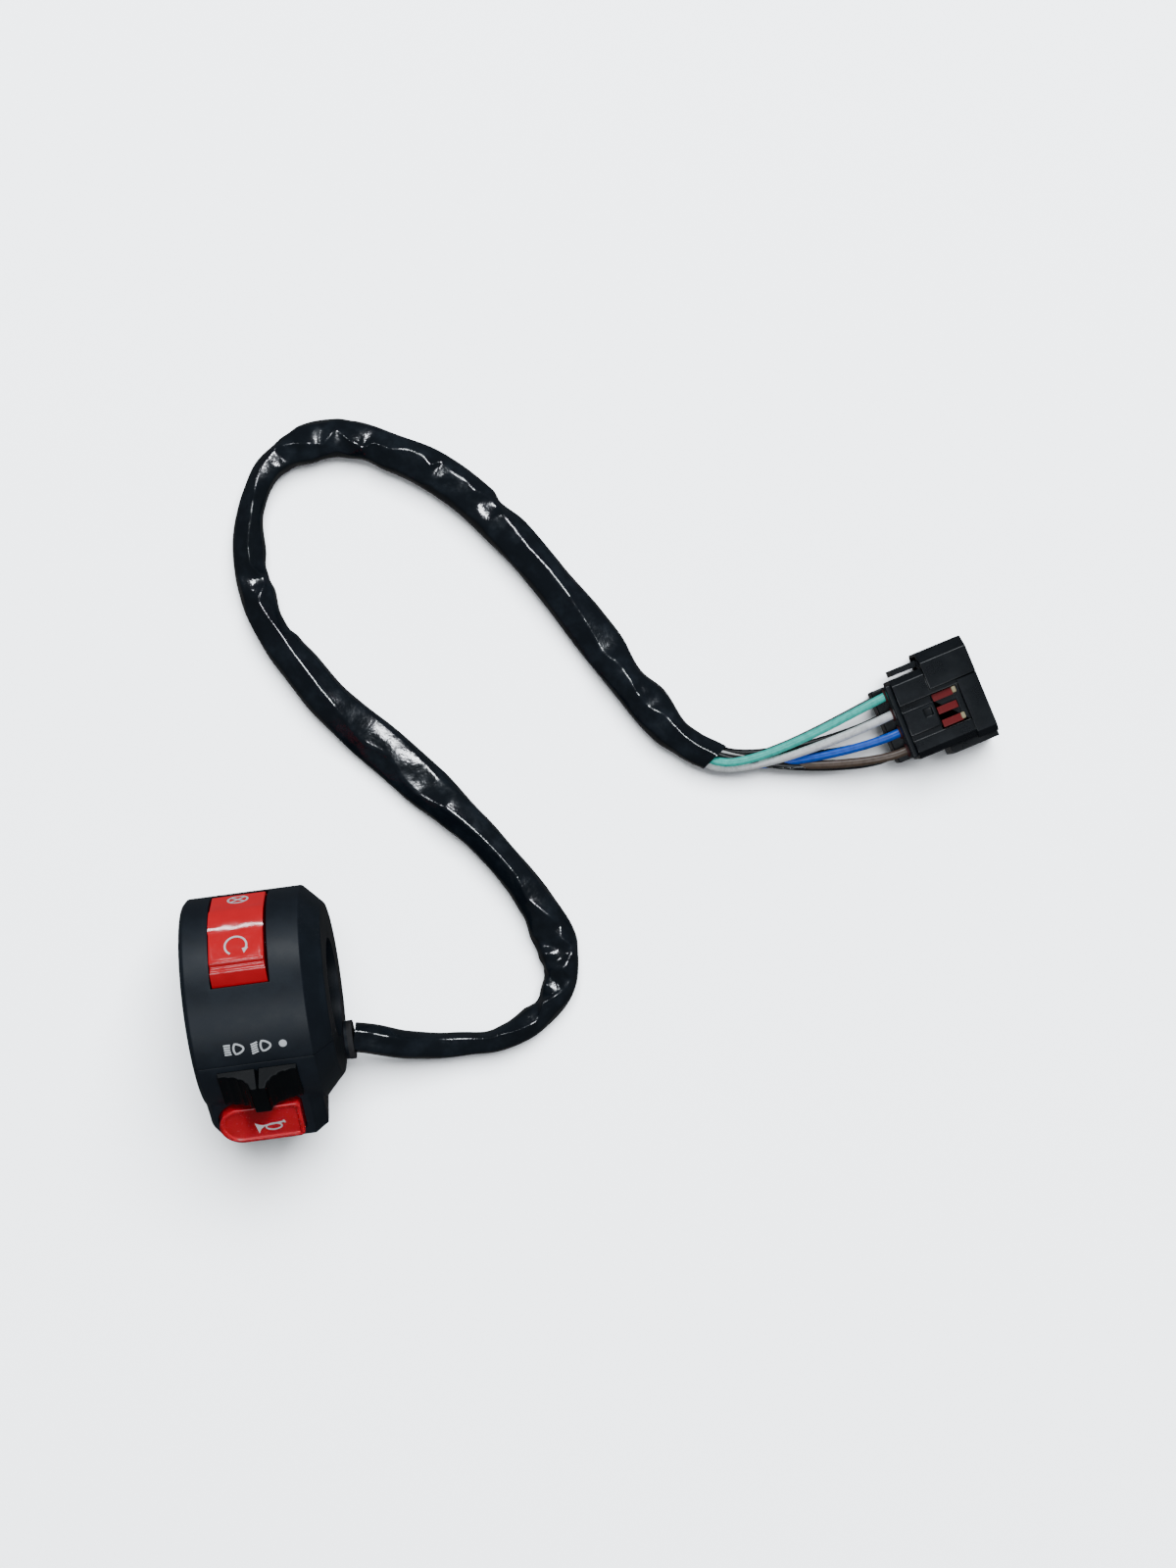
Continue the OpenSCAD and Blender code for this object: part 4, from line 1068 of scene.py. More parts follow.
@dataclass
class WireSet:
    """The eight wires between the sleeve's end and the plug."""

    sleeve: List[Vector]
    radius: float = 1.0
    rear: float = -13.6
    upper_rear: float = -10.9
    start_turn: float = -29.0
    start_lead: float = 26.0
    end_turn: float = 19.0
    end_lead: float = 30.0
    seal_depth: float = 3.0
    pitch: float = 4.4
    row_pitch: float = 5.0
    middle: float = 7.5
    inside: Tuple[Tuple[int, float], ...] = ((9, 0.5), (3, 0.75), (0, 0.95))
    bend_points: int = 9
    bend_steps: int = 10
    sides: int = 20
    steps: int = 60
    twist: float = 300.0
    twist_start: float = -80.0
    wires: Tuple[Wire, ...] = (
        Wire(WIRE_TURQUOISE, (0.75, 2.1), 3, 1), Wire(WIRE_WHITE, (2.15, 0.55), 2, 1),
        Wire(WIRE_BLUE, (0.75, -1.6), 1, 1), Wire(WIRE_BROWN, (-0.9, -2.5), 0, 1),
        Wire(WIRE_GREY, (0.1, 0.1), 3, 0), Wire(WIRE_BLACK, (-2.2, 0.2), 2, 0),
        Wire(WIRE_GREEN, (-2.0, -1.6), 1, 0), Wire(WIRE_STRIPED, (-1.35, 1.75), 0, 0))

    def path(self, wire: Wire) -> List[Vector]:
        """Draws the middle of one wire, from inside the sleeve to inside its seal.

        Args:
            wire: The wire.

        Returns:
            The line.
        """
        aim, turn = math.radians(PLUG_TURN), math.radians(self.start_turn)
        slant = math.radians(self.end_turn)
        into = Vector((math.cos(aim), math.sin(aim), 0.0))
        side = Vector((-into.y, into.x, 0.0))
        out = Vector((math.cos(turn), math.sin(turn), 0.0))
        arrive = Vector((math.cos(slant), math.sin(slant), 0.0))
        rightward, upward = wire.offset
        points: List[Vector] = []
        last = len(self.sleeve) - 1
        for back, spread in self.inside:
            here = self.sleeve[last - back]
            ahead = (here - self.sleeve[last - back - 1]).normalized()
            across = Vector((ahead.y, -ahead.x, 0.0))
            points.append(here + spread * (across * rightward + Vector((0.0, 0.0, upward))))
        start = points[-1]
        reach = self.upper_rear if wire.row else self.rear
        finish = (Vector(PLUG_AT) + into * reach + side * (wire.column - 1.5) * self.pitch
                  + Vector((0.0, 0.0, self.middle + (wire.row - 0.5) * self.row_pitch)))
        for step in range(1, self.bend_points):
            t = step / self.bend_points
            points.append((2 * t ** 3 - 3 * t * t + 1) * start
                          + (t ** 3 - 2 * t * t + t) * self.start_lead * out
                          + (3 * t * t - 2 * t ** 3) * finish
                          + (t ** 3 - t * t) * self.end_lead * arrive)
        points += [finish, finish + into * self.seal_depth]
        for point in points:
            point.z = max(point.z, TABLE_Z + self.radius + LEAST_LIFT)
        return resampled(spline(points, self.bend_steps), self.steps + 1)

    def build(self) -> List[bpy.types.Object]:
        """Makes the wires.

        Returns:
            The wires.
        """
        made: List[bpy.types.Object] = []
        for wire in self.wires:
            line = self.path(wire)

            def ring(at: int, around: int) -> Vector:
                """A point of the jacket."""
                ahead = (line[min(at + 1, self.steps)] - line[max(at - 1, 0)]).normalized()
                right = ahead.cross(Vector((0, 0, 1))).normalized()
                up = right.cross(ahead)
                twist = math.radians(self.twist_start + self.twist * at / self.steps)
                angle = around / self.sides * math.tau + twist
                return line[at] + self.radius * (right * math.cos(angle) + up * math.sin(angle))

            work = rolled_sheet(self.steps, self.sides, ring)
            cap_ends(work)
            node = wire.finish.name
            piece = emit(node.replace("wire", "jacket"), work, wire.finish, Body.HOUSING,
                         [node], 60.0, False)
            made.append(piece)
            tuple(self.sleeve[-1] * MM)
            length_of(line) * MM
            2 * self.radius * MM
            in_metres(line)
        return made


# Printed symbols


@dataclass(frozen=True)
class Stroke:
    """One line or filled patch of a printed symbol, in millimetres about its middle.

    Args:
        points: The line that it follows; the outline where it is filled.
        width: How wide the line is; 0 fills the outline.
        closed: Whether the line ends where it starts.
    """

    points: Tuple[Point2, ...]
    width: float = 0.4
    closed: bool = False


def arc(x: float, y: float, r: float, start: float, end: float, count: int = 24,
        tall: float = 1.0) -> Tuple[Point2, ...]:
    """Points of an arc between two angles in degrees, its height times tall."""
    return tuple((x + r * math.cos(math.radians(start + (end - start) * k / count)),
                  y + tall * r * math.sin(math.radians(start + (end - start) * k / count)))
                 for k in range(count + 1))


def loop(x: float, y: float, r: float, tall: float = 1.0, count: int = 36) -> Tuple[Point2, ...]:
    """Points all round a circle, the last one left out."""
    return arc(x, y, r, 0.0, 360.0, count, tall)[:-1]


LAMP: Tuple[Point2, ...] = ((0.2, 1.22), (0.75, 1.14), (1.35, 0.84), (1.85, 0.42), (2.02, 0.0),
                            (1.85, -0.42), (1.35, -0.84), (0.75, -1.14), (0.2, -1.22),
                            (-0.08, -0.62), (-0.16, 0.0), (-0.08, 0.62))
RAY_ROWS: Tuple[float, ...] = (1.1, 0.55, 0.0, -0.55, -1.1)


def beam(dip: float) -> Tuple[Stroke, ...]:
    """A headlamp with five rays, their far ends lower by dip."""
    return (Stroke(LAMP, 0.42, True),
            *(Stroke(((-2.2, y - dip), (-0.75 - 0.1 * (RAY_ROWS[0] - abs(y)), y)), 0.36)
              for y in RAY_ROWS))


HIGH_BEAM = beam(0.0)
LOW_BEAM = beam(0.5)
OFF_DOT = (Stroke(loop(0.0, 0.0, 0.86), 0.0),)
STOP_SIGN = (Stroke(loop(0.0, 0.0, 2.15, 0.85), 0.45, True),
             Stroke(((-1.5, -1.2), (1.5, 1.2)), 0.45), Stroke(((-1.5, 1.2), (1.5, -1.2)), 0.45))
RUN_SIGN = (Stroke(arc(0.0, 0.0, 2.35, -38.0, 238.0, 34), 0.42),
            Stroke(((1.35, -0.85), (2.75, -0.6), (1.75, -2.15)), 0.0))
BUGLE = (Stroke(((-3.3, 1.35), (-2.3, 0.75), (-1.5, 0.5), (-1.5, -0.1), (-2.1, -0.45),
                 (-2.75, -1.75)), 0.0),
         Stroke(((-1.7, 0.3), (0.0, 0.55), (3.2, 0.95)), 0.4),
         Stroke(loop(0.75, -0.15, 1.75, 0.52), 0.36, True),
         Stroke(((3.05, 1.4), (3.35, 0.55)), 0.34))


@dataclass(frozen=True)
class Symbol:
    """A symbol printed on a surface.

    Args:
        name: Its name.
        strokes: Its lines.
        body: The body that carries it.
        surface: Gives the point at two print coordinates and a lift off the surface.
        lift: How far the ink stands off the surface.
        stack: How much higher each stroke lies than the one before.
        sink: How deep the ink goes, as a share of lift.
        step: The length of the steps that a line is cut into.
    """

    name: str
    strokes: Tuple[Stroke, ...]
    body: Body
    surface: Surface
    lift: float = 0.035
    stack: float = 0.003
    sink: float = 1.5
    step: float = 0.3

    def _dense(self, stroke: Stroke) -> List[Vector]:
        """Cuts a stroke's line into short steps.

        Args:
            stroke: The stroke.

        Returns:
            The points.
        """
        points = [Vector((x, y, 0.0)) for x, y in stroke.points]
        if stroke.closed or stroke.width <= 0:
            points.append(points[0])
        return resampled(points, max(3, round(length_of(points) / self.step)))

    def _line(self, work: bmesh.types.BMesh, stroke: Stroke, lift: float) -> None:
        """Adds a band along a stroke.

        Args:
            work: The mesh that it is added to.
            stroke: The stroke.
            lift: How far it stands off the surface.
        """
        line = self._dense(stroke)
        count = len(line)
        sides: List[Tuple[Vector, Vector]] = []
        for index, point in enumerate(line):
            if stroke.closed:
                before = line[index - 1 if index else count - 2]
                after = line[(index + 1) if index < count - 1 else 1]
            else:
                before, after = line[max(index - 1, 0)], line[min(index + 1, count - 1)]
            ahead = (after - before).normalized()
            across = Vector((-ahead.y, ahead.x, 0.0)) * (stroke.width / 2)
            sides.append((point + across, point - across))
        made = bmesh.ops.create_grid(work, x_segments=count - 1, y_segments=1, size=0.5)["verts"]
        for vert in made:
            index = round((vert.co.x + 0.5) * (count - 1))
            flat = sides[index][0 if vert.co.y > 0 else 1]
            vert.co = self.surface(flat.x, flat.y, lift)

    def _patch(self, work: bmesh.types.BMesh, stroke: Stroke, lift: float) -> None:
        """Adds a filled outline, fanned from its middle.

        Args:
            work: The mesh that it is added to.
            stroke: The stroke.
            lift: How far it stands off the surface.
        """
        line = self._dense(stroke)[:-1]
        middle = sum(line, Vector()) / len(line)
        made = bmesh.ops.create_circle(work, cap_tris=True, cap_ends=True, segments=len(line),
                                       radius=1.0)["verts"]
        rim = [vert for vert in made if vert.co.length > 0.5]
        centre = [vert for vert in made if vert.co.length <= 0.5]
        rim.sort(key=lambda vert: math.atan2(vert.co.y, vert.co.x) % math.tau)
        for vert, flat in zip(rim, line):
            vert.co = self.surface(flat.x, flat.y, lift)
        for vert in centre:
            vert.co = self.surface(middle.x, middle.y, lift)

    def build(self) -> None:
        """Makes the symbol."""
        work = bmesh.new()
        for order, stroke in enumerate(self.strokes):
            draw = self._line if stroke.width > 0 else self._patch
            draw(work, stroke, self.lift + self.stack * order)
        bmesh.ops.recalc_face_normals(work, faces=work.faces)
        bmesh.ops.solidify(work, geom=work.faces[:], thickness=-self.lift * self.sink)
        bmesh.ops.recalc_face_normals(work, faces=work.faces)
        emit(self.name, work, PRINT_WHITE, self.body, (), 40.0, False)


# Housing and its controls


@dataclass
class Housing:
    """The two shells with rounded edges, and the symbols printed on them.

    pod_corner bounds the corner of the horn's pod that is rounded, in the pod's own frame.
    """

    radius: float = 23.5
    outside: float = 19.0
    edge: float = 0.22
    edge_segments: int = 2
    edge_bend: float = 24.0
    edge_length: float = 0.7
    pod_corner: Point3 = (-13.8, -22.5, 7.0)
    pod_rise: float = 1.0
    pod_round: float = 6.2
    pod_segments: int = 10
    print_turn: float = 22.9
    prints: Tuple[Tuple[str, Tuple[Stroke, ...], float], ...] = (
        ("print_high_beam", HIGH_BEAM, -5.5), ("print_low_beam", LOW_BEAM, 0.35),
        ("print_off", OFF_DOT, 5.0))

    def build(self) -> None:
        """Makes the shells and their print."""
        for node in ("upper_shell", "lower_shell"):
            work = cad_copy(node)
            if node == "lower_shell":
                self._round_pod(work)
            soften(work, self.edge, self.edge_segments, self.edge_bend, self.edge_length,
                   self._outer)
            emit(node.replace("shell", "case"), work, HOUSING_BLACK, Body.HOUSING, [node])
        for name, strokes, middle in self.prints:
            Symbol(name, strokes, Body.HOUSING, self._surface(middle)).build()

    def _round_pod(self, work: bmesh.types.BMesh) -> None:
        """Rounds the pod's outer corner, which follows the horn button's round end.

        Args:
            work: The lower shell's mesh.
        """
        place = turned(HORN_TURN)
        bmesh.ops.transform(work, matrix=place.inverted(), verts=work.verts)
        x, y, z = self.pod_corner
        edges = [edge for edge in work.edges
                 if all(v.co.x < x and v.co.y < y and v.co.z > z for v in edge.verts)
                 and upright(edge, self.pod_rise)]
        bevel(work, edges, self.pod_round, self.pod_segments)
        bmesh.ops.transform(work, matrix=place, verts=work.verts)

    def _outer(self, edge: bmesh.types.BMEdge) -> bool:
        """Whether an edge lies on the outside of the drum."""
        return all(math.hypot(vert.co.y, vert.co.z) > self.outside for vert in edge.verts)

    def _surface(self, middle: float) -> Surface:
        """The drum's surface.

        Args:
            middle: The place along the drum that the print's middle has.

        Returns:
            The function that places the print's points.
        """
        def point(u: float, v: float, lift: float) -> Vector:
            """A point on the drum."""
            turn = math.radians(self.print_turn) - v / self.radius
            reach = self.radius + lift
            return Vector((middle + u, -reach * math.sin(turn), reach * math.cos(turn)))
        return point


@dataclass
class Rocker:
    """The run and stop rocker: two dished thumb faces inside a raised rim."""

    turn: float = -46.0
    at_x: float = -2.35
    pivot: float = 16.5
    tilt: float = -8.0
    ridge: float = 8.9
    crest: float = 4.2
    crest_segments: int = 14
    crest_half: float = 0.05
    crest_deep: float = 0.1
    face_slope: float = 15.5
    face_area: float = 60.0
    face_low: float = 5.0
    rim: float = 0.45
    dish: float = 0.12
    dish_run: float = 0.6
    edge: float = 0.34
    edge_segments: int = 3
    edge_bend: float = 30.0
    edge_length: float = 0.8
    edge_low: float = 3.2
    run_at: float = 7.9
    stop_at: float = 9.2

    def frame(self) -> Matrix:
        """The rocker's own frame at rest."""
        return (turned(self.turn, (self.at_x, 0.0, self.pivot))
                @ Matrix.Rotation(math.radians(self.tilt), 4, "X"))

    def build(self) -> None:
        """Makes the button and its two symbols."""
        place = self.frame()
        work = cad_copy("rocker_button")
        bmesh.ops.transform(work, matrix=place.inverted(), verts=work.verts)
        slope = math.radians(self.face_slope)
        bevel(work, [edge for edge in work.edges
                     if all(abs(v.co.y) < self.crest_half
                            and v.co.z > self.ridge - self.crest_deep for v in edge.verts)],
              self.crest, self.crest_segments)
        for side in (-1, 1):
            normal = Vector((0.0, side * math.sin(slope), math.cos(slope)))
            faces = [f for f in work.faces if f.normal.dot(normal) > 0.999
                     and f.calc_area() > self.face_area
                     and f.calc_center_median().z > self.face_low]
            for thickness, depth in ((self.rim + self.edge, 0.0), (self.dish_run, -self.dish)):
                bmesh.ops.inset_region(work, faces=faces, thickness=thickness, depth=depth,
                                       use_even_offset=True)
        soften(work, self.edge, self.edge_segments, self.edge_bend, self.edge_length,
               lambda edge: min(v.co.z for v in edge.verts) > self.edge_low)
        bmesh.ops.transform(work, matrix=place, verts=work.verts)
        emit("rocker_cap", work, ROCKER_RED, Body.ROCKER, ["rocker_button"], 50.0)
        Symbol("print_run", RUN_SIGN, Body.ROCKER, self._face(-1, self.run_at)).build()
        Symbol("print_stop", STOP_SIGN, Body.ROCKER, self._face(1, self.stop_at)).build()

    def _face(self, side: int, middle: float) -> Surface:
        """One dished face.

        Args:
            side: -1 for the run face, 1 for the stop face.
            middle: How far from the crest the print's middle is.

        Returns:
            The function that places the print's points.
        """
        place = self.frame()
        slope = math.radians(self.face_slope)

        def point(u: float, v: float, lift: float) -> Vector:
            """A point on the face."""
            t = middle + side * v
            rise = lift - self.dish
            return place @ Vector((u, side * (t * math.cos(slope) + rise * math.sin(slope)),
                                   self.ridge - t * math.sin(slope) + rise * math.cos(slope)))
        return point


@dataclass
class Slider:
    """The headlamp slider: a wide lip that sweeps up into a narrow stem, with grip ribs.

    Each station is a place across the knob and how far its outline is drawn in there.
    """

    turn: float = 49.0
    at_x: float = -1.7
    half_wide: float = 8.65
    half_deep: float = 5.2
    stem: float = 1.75
    lip_z: float = 24.35
    lip_round: float = 0.15
    top_z: float = 28.0
    top_fall: float = 0.3
    top_corner: float = 0.1
    top_run: float = 0.35
    under_r: float = 23.75
    ribs: int = 4
    rib: float = 0.22
    rib_span: float = 1.12
    rib_gap: float = 0.35
    rib_sink: float = 0.4
    steps: int = 60
    notch: float = 0.8
    notch_half: float = 0.55
    notch_in: float = 0.4
    lean: float = 0.16
    neck: Point3 = (1.8, 2.7, 21.0)
    neck_top: float = 23.95
    foot: Tuple[float, float, float, float] = (4.0, 4.4, 19.7, 21.2)
    near: float = 0.01
    stations: Tuple[Point2, ...] = ((-5.2, 0.3), (-5.12, 0.1), (-4.9, 0.0), (-3.4, 0.0),
                                    (-1.7, 0.0), (0.0, 0.0), (1.7, 0.0), (3.4, 0.0), (4.2, 0.0),
                                    (4.9, 0.0), (5.12, 0.1), (5.2, 0.3))

    def outline(self) -> List[Point2]:
        """Draws the right half of the profile, from the lip's lower corner to the middle.

        Returns:
            Its points in X and Z.
        """
        wide, high = self.half_wide - self.stem, self.top_z - self.lip_z
        points: List[Point2] = [(self.half_wide, self.under_r),
                                (self.half_wide, self.lip_z - self.lip_round),
                                (self.half_wide - self.lip_round, self.lip_z)]
        for step in range(1, self.steps):
            t = step / self.steps
            x = self.stem + wide * (1 - math.sin(t * math.pi / 2))
            z = self.lip_z + high * (1 - math.cos(t * math.pi / 2))
            phase = (t * self.rib_span) * self.ribs
            if phase < self.ribs:
                wave = abs((phase % 1.0) * 2 - 1)
                z += self.rib * (max(0.0, wave - self.rib_gap) / (1 - self.rib_gap)
                                 - self.rib_sink)
            points.append((x, z))
        points += [(self.stem, self.top_z - self.top_fall),
                   (self.stem - self.top_corner, self.top_z - self.top_corner),
                   (self.stem - self.top_run, self.top_z), (self.notch_half, self.top_z),
                   (0.0, self.top_z)]
        return points

    def build(self) -> None:
        """Makes the knob, its neck and its foot."""
        half = self.outline()
        whole = half + [(-x, z) for x, z in reversed(half[:-1])]
        work = extruded(whole, self.stations[0][0], self.stations[-1][0])
        for y, _ in self.stations[1:-1]:
            cut(work, (0, y, 0), (0, 1, 0))
        for x in (-self.notch_half, 0.0, self.notch_half):
            cut(work, (x, 0, 0), (1, 0, 0))
        self._shape(work)
        bmesh.ops.recalc_face_normals(work, faces=work.faces)
        x, y, low = self.neck
        box(work, (-x, -y, low), (x, y, self.neck_top))
        x, y, low, high = self.foot
        for vert in box(work, (-x, -y, low), (x, y, high)):
            if vert.co.z > (low + high) / 2:
                vert.co.z = math.sqrt(high ** 2 - y ** 2)
        bmesh.ops.transform(work, matrix=turned(self.turn, (self.at_x, 0.0, 0.0)),
                            verts=work.verts)
        emit("slider_knob", work, SLIDER_BLACK, Body.DIP, ["dip_slider"], 30.0)

    def _shape(self, work: bmesh.types.BMesh) -> None:
        """Draws the prism's ends in, fits its underside to the drum and leans its sides.

        Args:
            work: The prism.
        """
        inset = {round(y, 3): drawn for y, drawn in self.stations}
        for vert in work.verts:
            drawn = inset.get(round(vert.co.y, 3), 0.0)
            if vert.co.z > self.under_r + self.near:
                vert.co.z -= drawn
                vert.co.x -= math.copysign(min(drawn, abs(vert.co.x)), vert.co.x)
            else:
                vert.co.z = math.sqrt(self.under_r ** 2 - vert.co.y ** 2)
            if abs(vert.co.x) < self.near and vert.co.y > self.half_deep - self.notch_in:
                vert.co.y -= self.notch
            rise = max(0.0, vert.co.z - self.lip_z) / (self.top_z - self.lip_z)
            vert.co.y *= 1.0 - self.lean * rise


@dataclass
class Horn:
    """The horn button: a face dished inside a thin rim, round at its left end.

    Each row of rim_rise and rim_fall is one step of the rim's section: inwards, and up.
    """

    low: Point2 = (-12.9, -22.1)
    high: Point2 = (5.5, -12.1)
    round_left: float = 4.95
    round_right: float = 1.5
    segments_left: int = 14
    segments_right: int = 6
    face_z: float = 22.6
    skirt_z: float = 17.4
    flange: float = 0.5
    flange_t: float = 1.2
    rim: float = 1.05
    rim_high: float = 0.3
    rim_round: float = 0.5
    rim_rise: Tuple[Point2, ...] = ((0.04, 0.12), (0.08, 0.1), (0.14, 0.08))
    rim_fall: Tuple[Point2, ...] = ((0.12, -0.06), (0.08, -0.12), (0.06, -0.22), (0.16, -0.1))
    dish: float = 0.5
    near: float = 0.01
    print_at: Point2 = (-1.9, -18.3)

    def build(self) -> None:
        """Makes the button and its symbol."""
        place = turned(HORN_TURN)
        work = bmesh.new()
        self._block(work, 0.0, self.face_z - self.rim_high)
        face = [f for f in work.faces if f.normal.z > 0.99]
        flat = (self.rim - self.rim_round, 0.0)
        for thickness, depth in (*self.rim_rise, flat, *self.rim_fall):
            bmesh.ops.inset_region(work, faces=face, thickness=thickness, depth=depth,
                                   use_even_offset=True)
        flange = bmesh.new()
        self._block(flange, self.flange, self.skirt_z + self.flange_t)
        held = bpy.data.meshes.new("held")
        flange.to_mesh(held)
        flange.free()
        work.from_mesh(held)
        bpy.data.meshes.remove(held)
        bmesh.ops.transform(work, matrix=place, verts=work.verts)
        emit("horn_cap", work, HORN_RED_SHADED, Body.HORN, ["horn_button"], 40.0)
        middle_x, middle_y = self.print_at

        def point(u: float, v: float, lift: float) -> Vector:
            """A point on the dish."""
            return place @ Vector((middle_x + u, middle_y + v, self.face_z - self.dish + lift))

        Symbol("print_horn", BUGLE, Body.HORN, point).build()

    def _block(self, work: bmesh.types.BMesh, grow: float, top: float) -> None:
        """Adds a block in the button's outline, its left edges rounded more.

        Args:
            work: The mesh that it is added to.
            grow: How much further out it goes than the button.
            top: How high it is.
        """
        (x0, y0), (x1, y1) = self.low, self.high
        box(work, (x0 - grow, y0 - grow, self.skirt_z), (x1 + grow, y1 + grow, top))
        for x, radius, segments in ((x0 - grow, self.round_left + grow, self.segments_left),
                                    (x1 + grow, self.round_right + grow, self.segments_right)):
            bevel(work, [edge for edge in work.edges
                         if all(abs(v.co.x - x) < self.near for v in edge.verts)
                         and upright(edge, 0.5)], radius, segments)


@dataclass
class Plug:
    """The sealed plug: its parts with rounded edges, the lock's bars and the peg tips.

    Sizes are in the plug's own frame, with X towards its mouth.
    """

    rear: float = -13.6
    step: float = -10.9
    body_end: float = -9.4
    half_wide: float = 8.7
    low_z: float = 0.8
    step_z: float = 8.4
    top_z: float = 14.2
    cover_round: float = 0.4
    seal_margin: float = 1.0
    seal_proud: float = 0.35
    bar_u: Point2 = (-1.8, 3.0)
    bar_v: Tuple[Point2, ...] = ((2.15, 14.25), (-0.95, 14.65), (-4.05, 14.55))
    bar_half: float = 0.85
    bar_round: float = 0.16
    pegs: Tuple[Point2, ...] = ((3.4, 2.3), (3.2, -3.95))
    peg_size: Point3 = (1.0, 1.5, 1.1)
    peg_sink: float = 0.3
    peg_round: float = 0.28
    channel_z: float = 13.6
    sharp_bend: float = 40.0
    parts: Tuple[Tuple[str, str, float], ...] = (
        ("plug_housing", "plug_shell", 0.22), ("plug_collar", "plug_ring", 0.2))

    def build(self) -> List[bpy.types.Object]:
        """Makes the plug's pieces.

        Returns:
            The pieces.
        """
        made: List[bpy.types.Object] = []
        for node, name, width in self.parts:
            work = cad_copy(node)
            soften(work, width, 2, self.sharp_bend, 1.0)
            made.append(emit(name, work, PLUG_BLACK, Body.HOUSING, [node]))
        return made + [self._rear_cover(), self._seals(), self._lock(), self._pegs()]

    def _placed(self, name: str, work: bmesh.types.BMesh, finish: Finish,
                *nodes: str) -> bpy.types.Object:
        """Moves a mesh from the plug's own frame to its place and makes the piece.

        Args:
            name: The piece's name.
            work: Its mesh.
            finish: Its finish.
            nodes: The CAD nodes that it stands for.

        Returns:
            The piece.
        """
        bmesh.ops.transform(work, matrix=self.frame(), verts=work.verts)
        return emit(name, work, finish, Body.HOUSING, nodes)

    def frame(self) -> Matrix:
        """The plug's own frame."""
        return Matrix.Translation(PLUG_AT) @ Matrix.Rotation(math.radians(PLUG_TURN), 4, "Z")

    def _rear_cover(self) -> bpy.types.Object:
        """The rear cover, stepped down where the upper wires come out."""
        work = bmesh.new()
        for rear, top in ((self.rear, self.step_z), (self.step, self.top_z)):
            box(work, (rear, -self.half_wide, self.low_z), (self.body_end, self.half_wide, top))
        soften(work, self.cover_round, 3)
        return self._placed("plug_back", work, PLUG_BLACK, "plug_rear_cover")

    def _seals(self) -> bpy.types.Object:
        """The wire seals, the upper row cut back to the step."""
        work = cad_copy("wire_seals")
        bmesh.ops.transform(work, matrix=self.frame().inverted(), verts=work.verts)
        for vert in work.verts:
            if (vert.co.z > self.step_z - self.seal_margin
                    and vert.co.x < self.body_end - self.seal_margin):
                vert.co.x = self.step - self.seal_proud
        return self._placed("plug_seals", work, SEAL_RED, "wire_seals")

    def _lock(self) -> bpy.types.Object:
        """The lock: three bars in the channel."""
        work = bmesh.new()
        start, end = self.bar_u
        for middle, top in self.bar_v:
            box(work, (start, middle - self.bar_half, self.channel_z),
                (end, middle + self.bar_half, top))
        soften(work, self.bar_round, 2, self.sharp_bend, 0.5)
        return self._placed("plug_bars", work, LOCK_RED, "plug_lock")

    def _pegs(self) -> bpy.types.Object:
        """The two peg tips in front of the lock's outer bars."""
        work = bmesh.new()
        long, wide, high = self.peg_size
        for u, v in self.pegs:
            box(work, (u - long / 2, v - wide / 2, self.channel_z - self.peg_sink),
                (u + long / 2, v + wide / 2, self.channel_z + high))
        soften(work, self.peg_round, 3, self.sharp_bend, 0.5)
        return self._placed("plug_pegs", work, SEAL_CREAM)


# Studio


class Lit(Enum):
    """What a light falls on."""

    TABLE = "table_only"
    GLOSS = "gloss_only"
    SOLID = "solid_only"
    ROCKER = "rocker_only"

    def takes(self, name: str) -> bool:
        """Whether a piece of this name is lit."""
        return {Lit.TABLE: name == "table", Lit.GLOSS: name in ("sleeve", "horn_cap"),
                Lit.SOLID: name not in ("table", "sleeve"),
                Lit.ROCKER: name == "rocker_cap"}[self]

    def pieces(self) -> bpy.types.Collection:
        """Collects the meshes that are lit, once all of them are made.

        Returns:
            The collection, made once.
        """
        found = bpy.data.collections.get(self.value)
        if found is not None:
            return found
        made = bpy.data.collections.new(self.value)
        for piece in list(bpy.data.objects):
            if piece.type == "MESH" and self.takes(piece.name):
                made.objects.link(piece)
        return made


@dataclass(frozen=True)
class Lamp:
    """A rectangular light.

    Args:
        name: Its name.
        at: Its place.
        size: Its two sides, in metres.
        watts: Its power.
        lit: What it falls on.
        aim: The point that it looks at.
    """

    name: str
    at: Point3
    size: Point2
    watts: float
    lit: Lit
    aim: Point3 = (60.0, 40.0, 0.0)

    def build(self) -> None:
        """Makes the light."""
        data = bpy.data.lights.new(self.name, "AREA")
        data.shape = "RECTANGLE"
        data.size, data.size_y = self.size
        data.energy = self.watts
        data.color = (0.9, 0.95, 1.0)
        made = bpy.data.objects.new(self.name, data)
        place = Vector(self.at) * MM
        made.location = place
        made.rotation_euler = (Vector(self.aim) * MM - place).to_track_quat("-Z", "Y").to_euler()
        bpy.context.scene.collection.objects.link(made)
        made.light_linking.receiver_collection = self.lit.pieces()


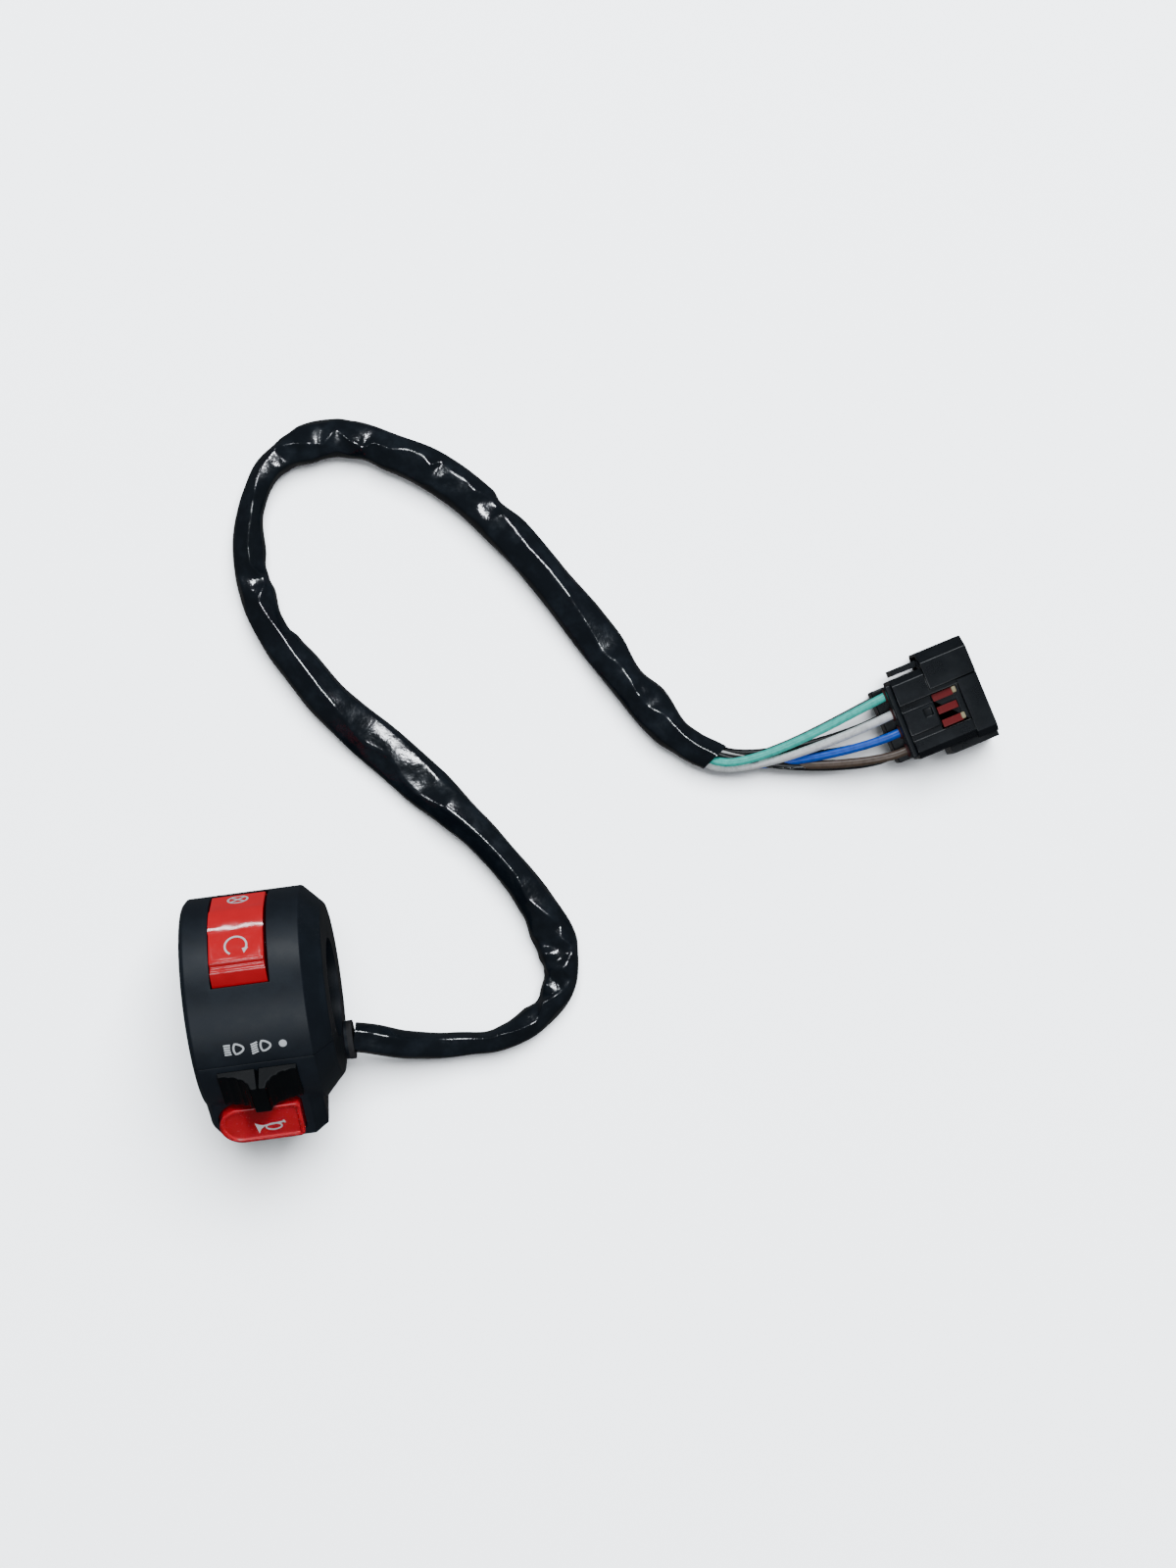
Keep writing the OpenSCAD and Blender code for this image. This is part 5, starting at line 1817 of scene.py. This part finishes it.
@dataclass
class Studio:
    """The camera that stands over the table, the table, and the lights."""

    camera_at: Point3 = (77.0, 37.3, 616.5)
    camera_turn: float = -7.5
    camera_view: Point2 = (0.01, 20.0)
    lens: float = 63.8
    sensor: float = 36.0
    table_at: Point3 = (70.0, 30.0, -23.55)
    table_half: float = 6000.0
    table_colour: Colour = (0.95, 0.95, 0.955)
    table_roughness: float = 0.9
    sky_colour: Colour = (0.95, 0.97, 1.0)
    sky_strength: float = 0.1
    lamps: Tuple[Lamp, ...] = (
        Lamp("wash", (480.0, 1040.0, 2000.0), (1.6, 1.6), 290.0, Lit.TABLE),
        Lamp("lift", (60.0, 40.0, 2000.0), (1.5, 1.5), 16.0, Lit.TABLE),
        Lamp("sky", (300.0, 380.0, 900.0), (0.24, 0.2), 14.0, Lit.GLOSS),
        Lamp("spark", (-330.0, 480.0, 850.0), (0.12, 0.12), 1.8, Lit.GLOSS),
        Lamp("key", (30.0, 780.0, 640.0), (0.4, 0.3), 6.5, Lit.SOLID),
        Lamp("fill", (40.0, -300.0, 900.0), (0.4, 0.4), 4.5, Lit.SOLID),
        Lamp("strip", (-135.0, 990.0, 50.0), (0.4, 0.07), 5.0, Lit.ROCKER, (0.0, 0.0, 17.0)))

    def camera(self) -> None:
        """Makes the camera, looking straight down."""
        data = bpy.data.cameras.new("camera")
        data.lens, data.sensor_width = self.lens, self.sensor
        data.clip_start, data.clip_end = self.camera_view
        made = bpy.data.objects.new("camera", data)
        made.location = Vector(self.camera_at) * MM
        made.rotation_euler = (0.0, 0.0, math.radians(self.camera_turn))
        bpy.context.scene.collection.objects.link(made)
        bpy.context.scene.camera = made

    def table(self) -> None:
        """Makes the white table, whose glow the pieces don't take up."""
        work = bmesh.new()
        bmesh.ops.create_grid(work, x_segments=1, y_segments=1, size=self.table_half * MM)
        bmesh.ops.translate(work, verts=work.verts, vec=Vector(self.table_at) * MM)
        data = bpy.data.meshes.new("table")
        work.to_mesh(data)
        work.free()
        made = bpy.data.objects.new("table", data)
        graph = Graph("table_white")
        graph.set(Base_Color=self.table_colour, Roughness=self.table_roughness)
        data.materials.append(graph.material)
        made.visible_glossy = False
        made.visible_diffuse = False
        bpy.context.scene.collection.objects.link(made)

    def lights(self) -> None:
        """Makes the lights and the pale surroundings, once every piece is there."""
        for lamp in self.lamps:
            lamp.build()
        world = bpy.data.worlds.new("studio")
        world.use_nodes = True
        back = world.node_tree.nodes["Background"]
        back.inputs["Color"].default_value = (*self.sky_colour, 1.0)
        back.inputs["Strength"].default_value = self.sky_strength
        bpy.context.scene.world = world


def dress_nodes() -> None:
    """Gives each CAD node its finish."""
    for finish, names in FINISHED_NODES:
        for name in names:
            node = frame["nodes"][name]
            node.data.materials.clear()
            node.data.materials.append(finish.material())
            LOG.info("dressed %s", name)


def harness() -> None:
    sleeve, line = Sleeve().build()
    wires = WireSet(line).build()
    plug = Plug().build()
    plug += [frame["nodes"][name] for name in ("plug_latch", "plug_terminals", "face_seal")]
    tuple(line[0] * MM)
    length_of(line) * MM
    in_metres(line)


def main() -> None:
    """Builds every piece, and the lights once all the pieces are there."""
    logging.basicConfig(level=logging.INFO)
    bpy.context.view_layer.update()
    studio = Studio()
    studio.camera()
    studio.table()
    dress_nodes()
    for assembly in (Housing(), Rocker(), Slider(), Horn()):
        assembly.build()
    harness()
    studio.lights()


if __name__ == "__main__":
    main()
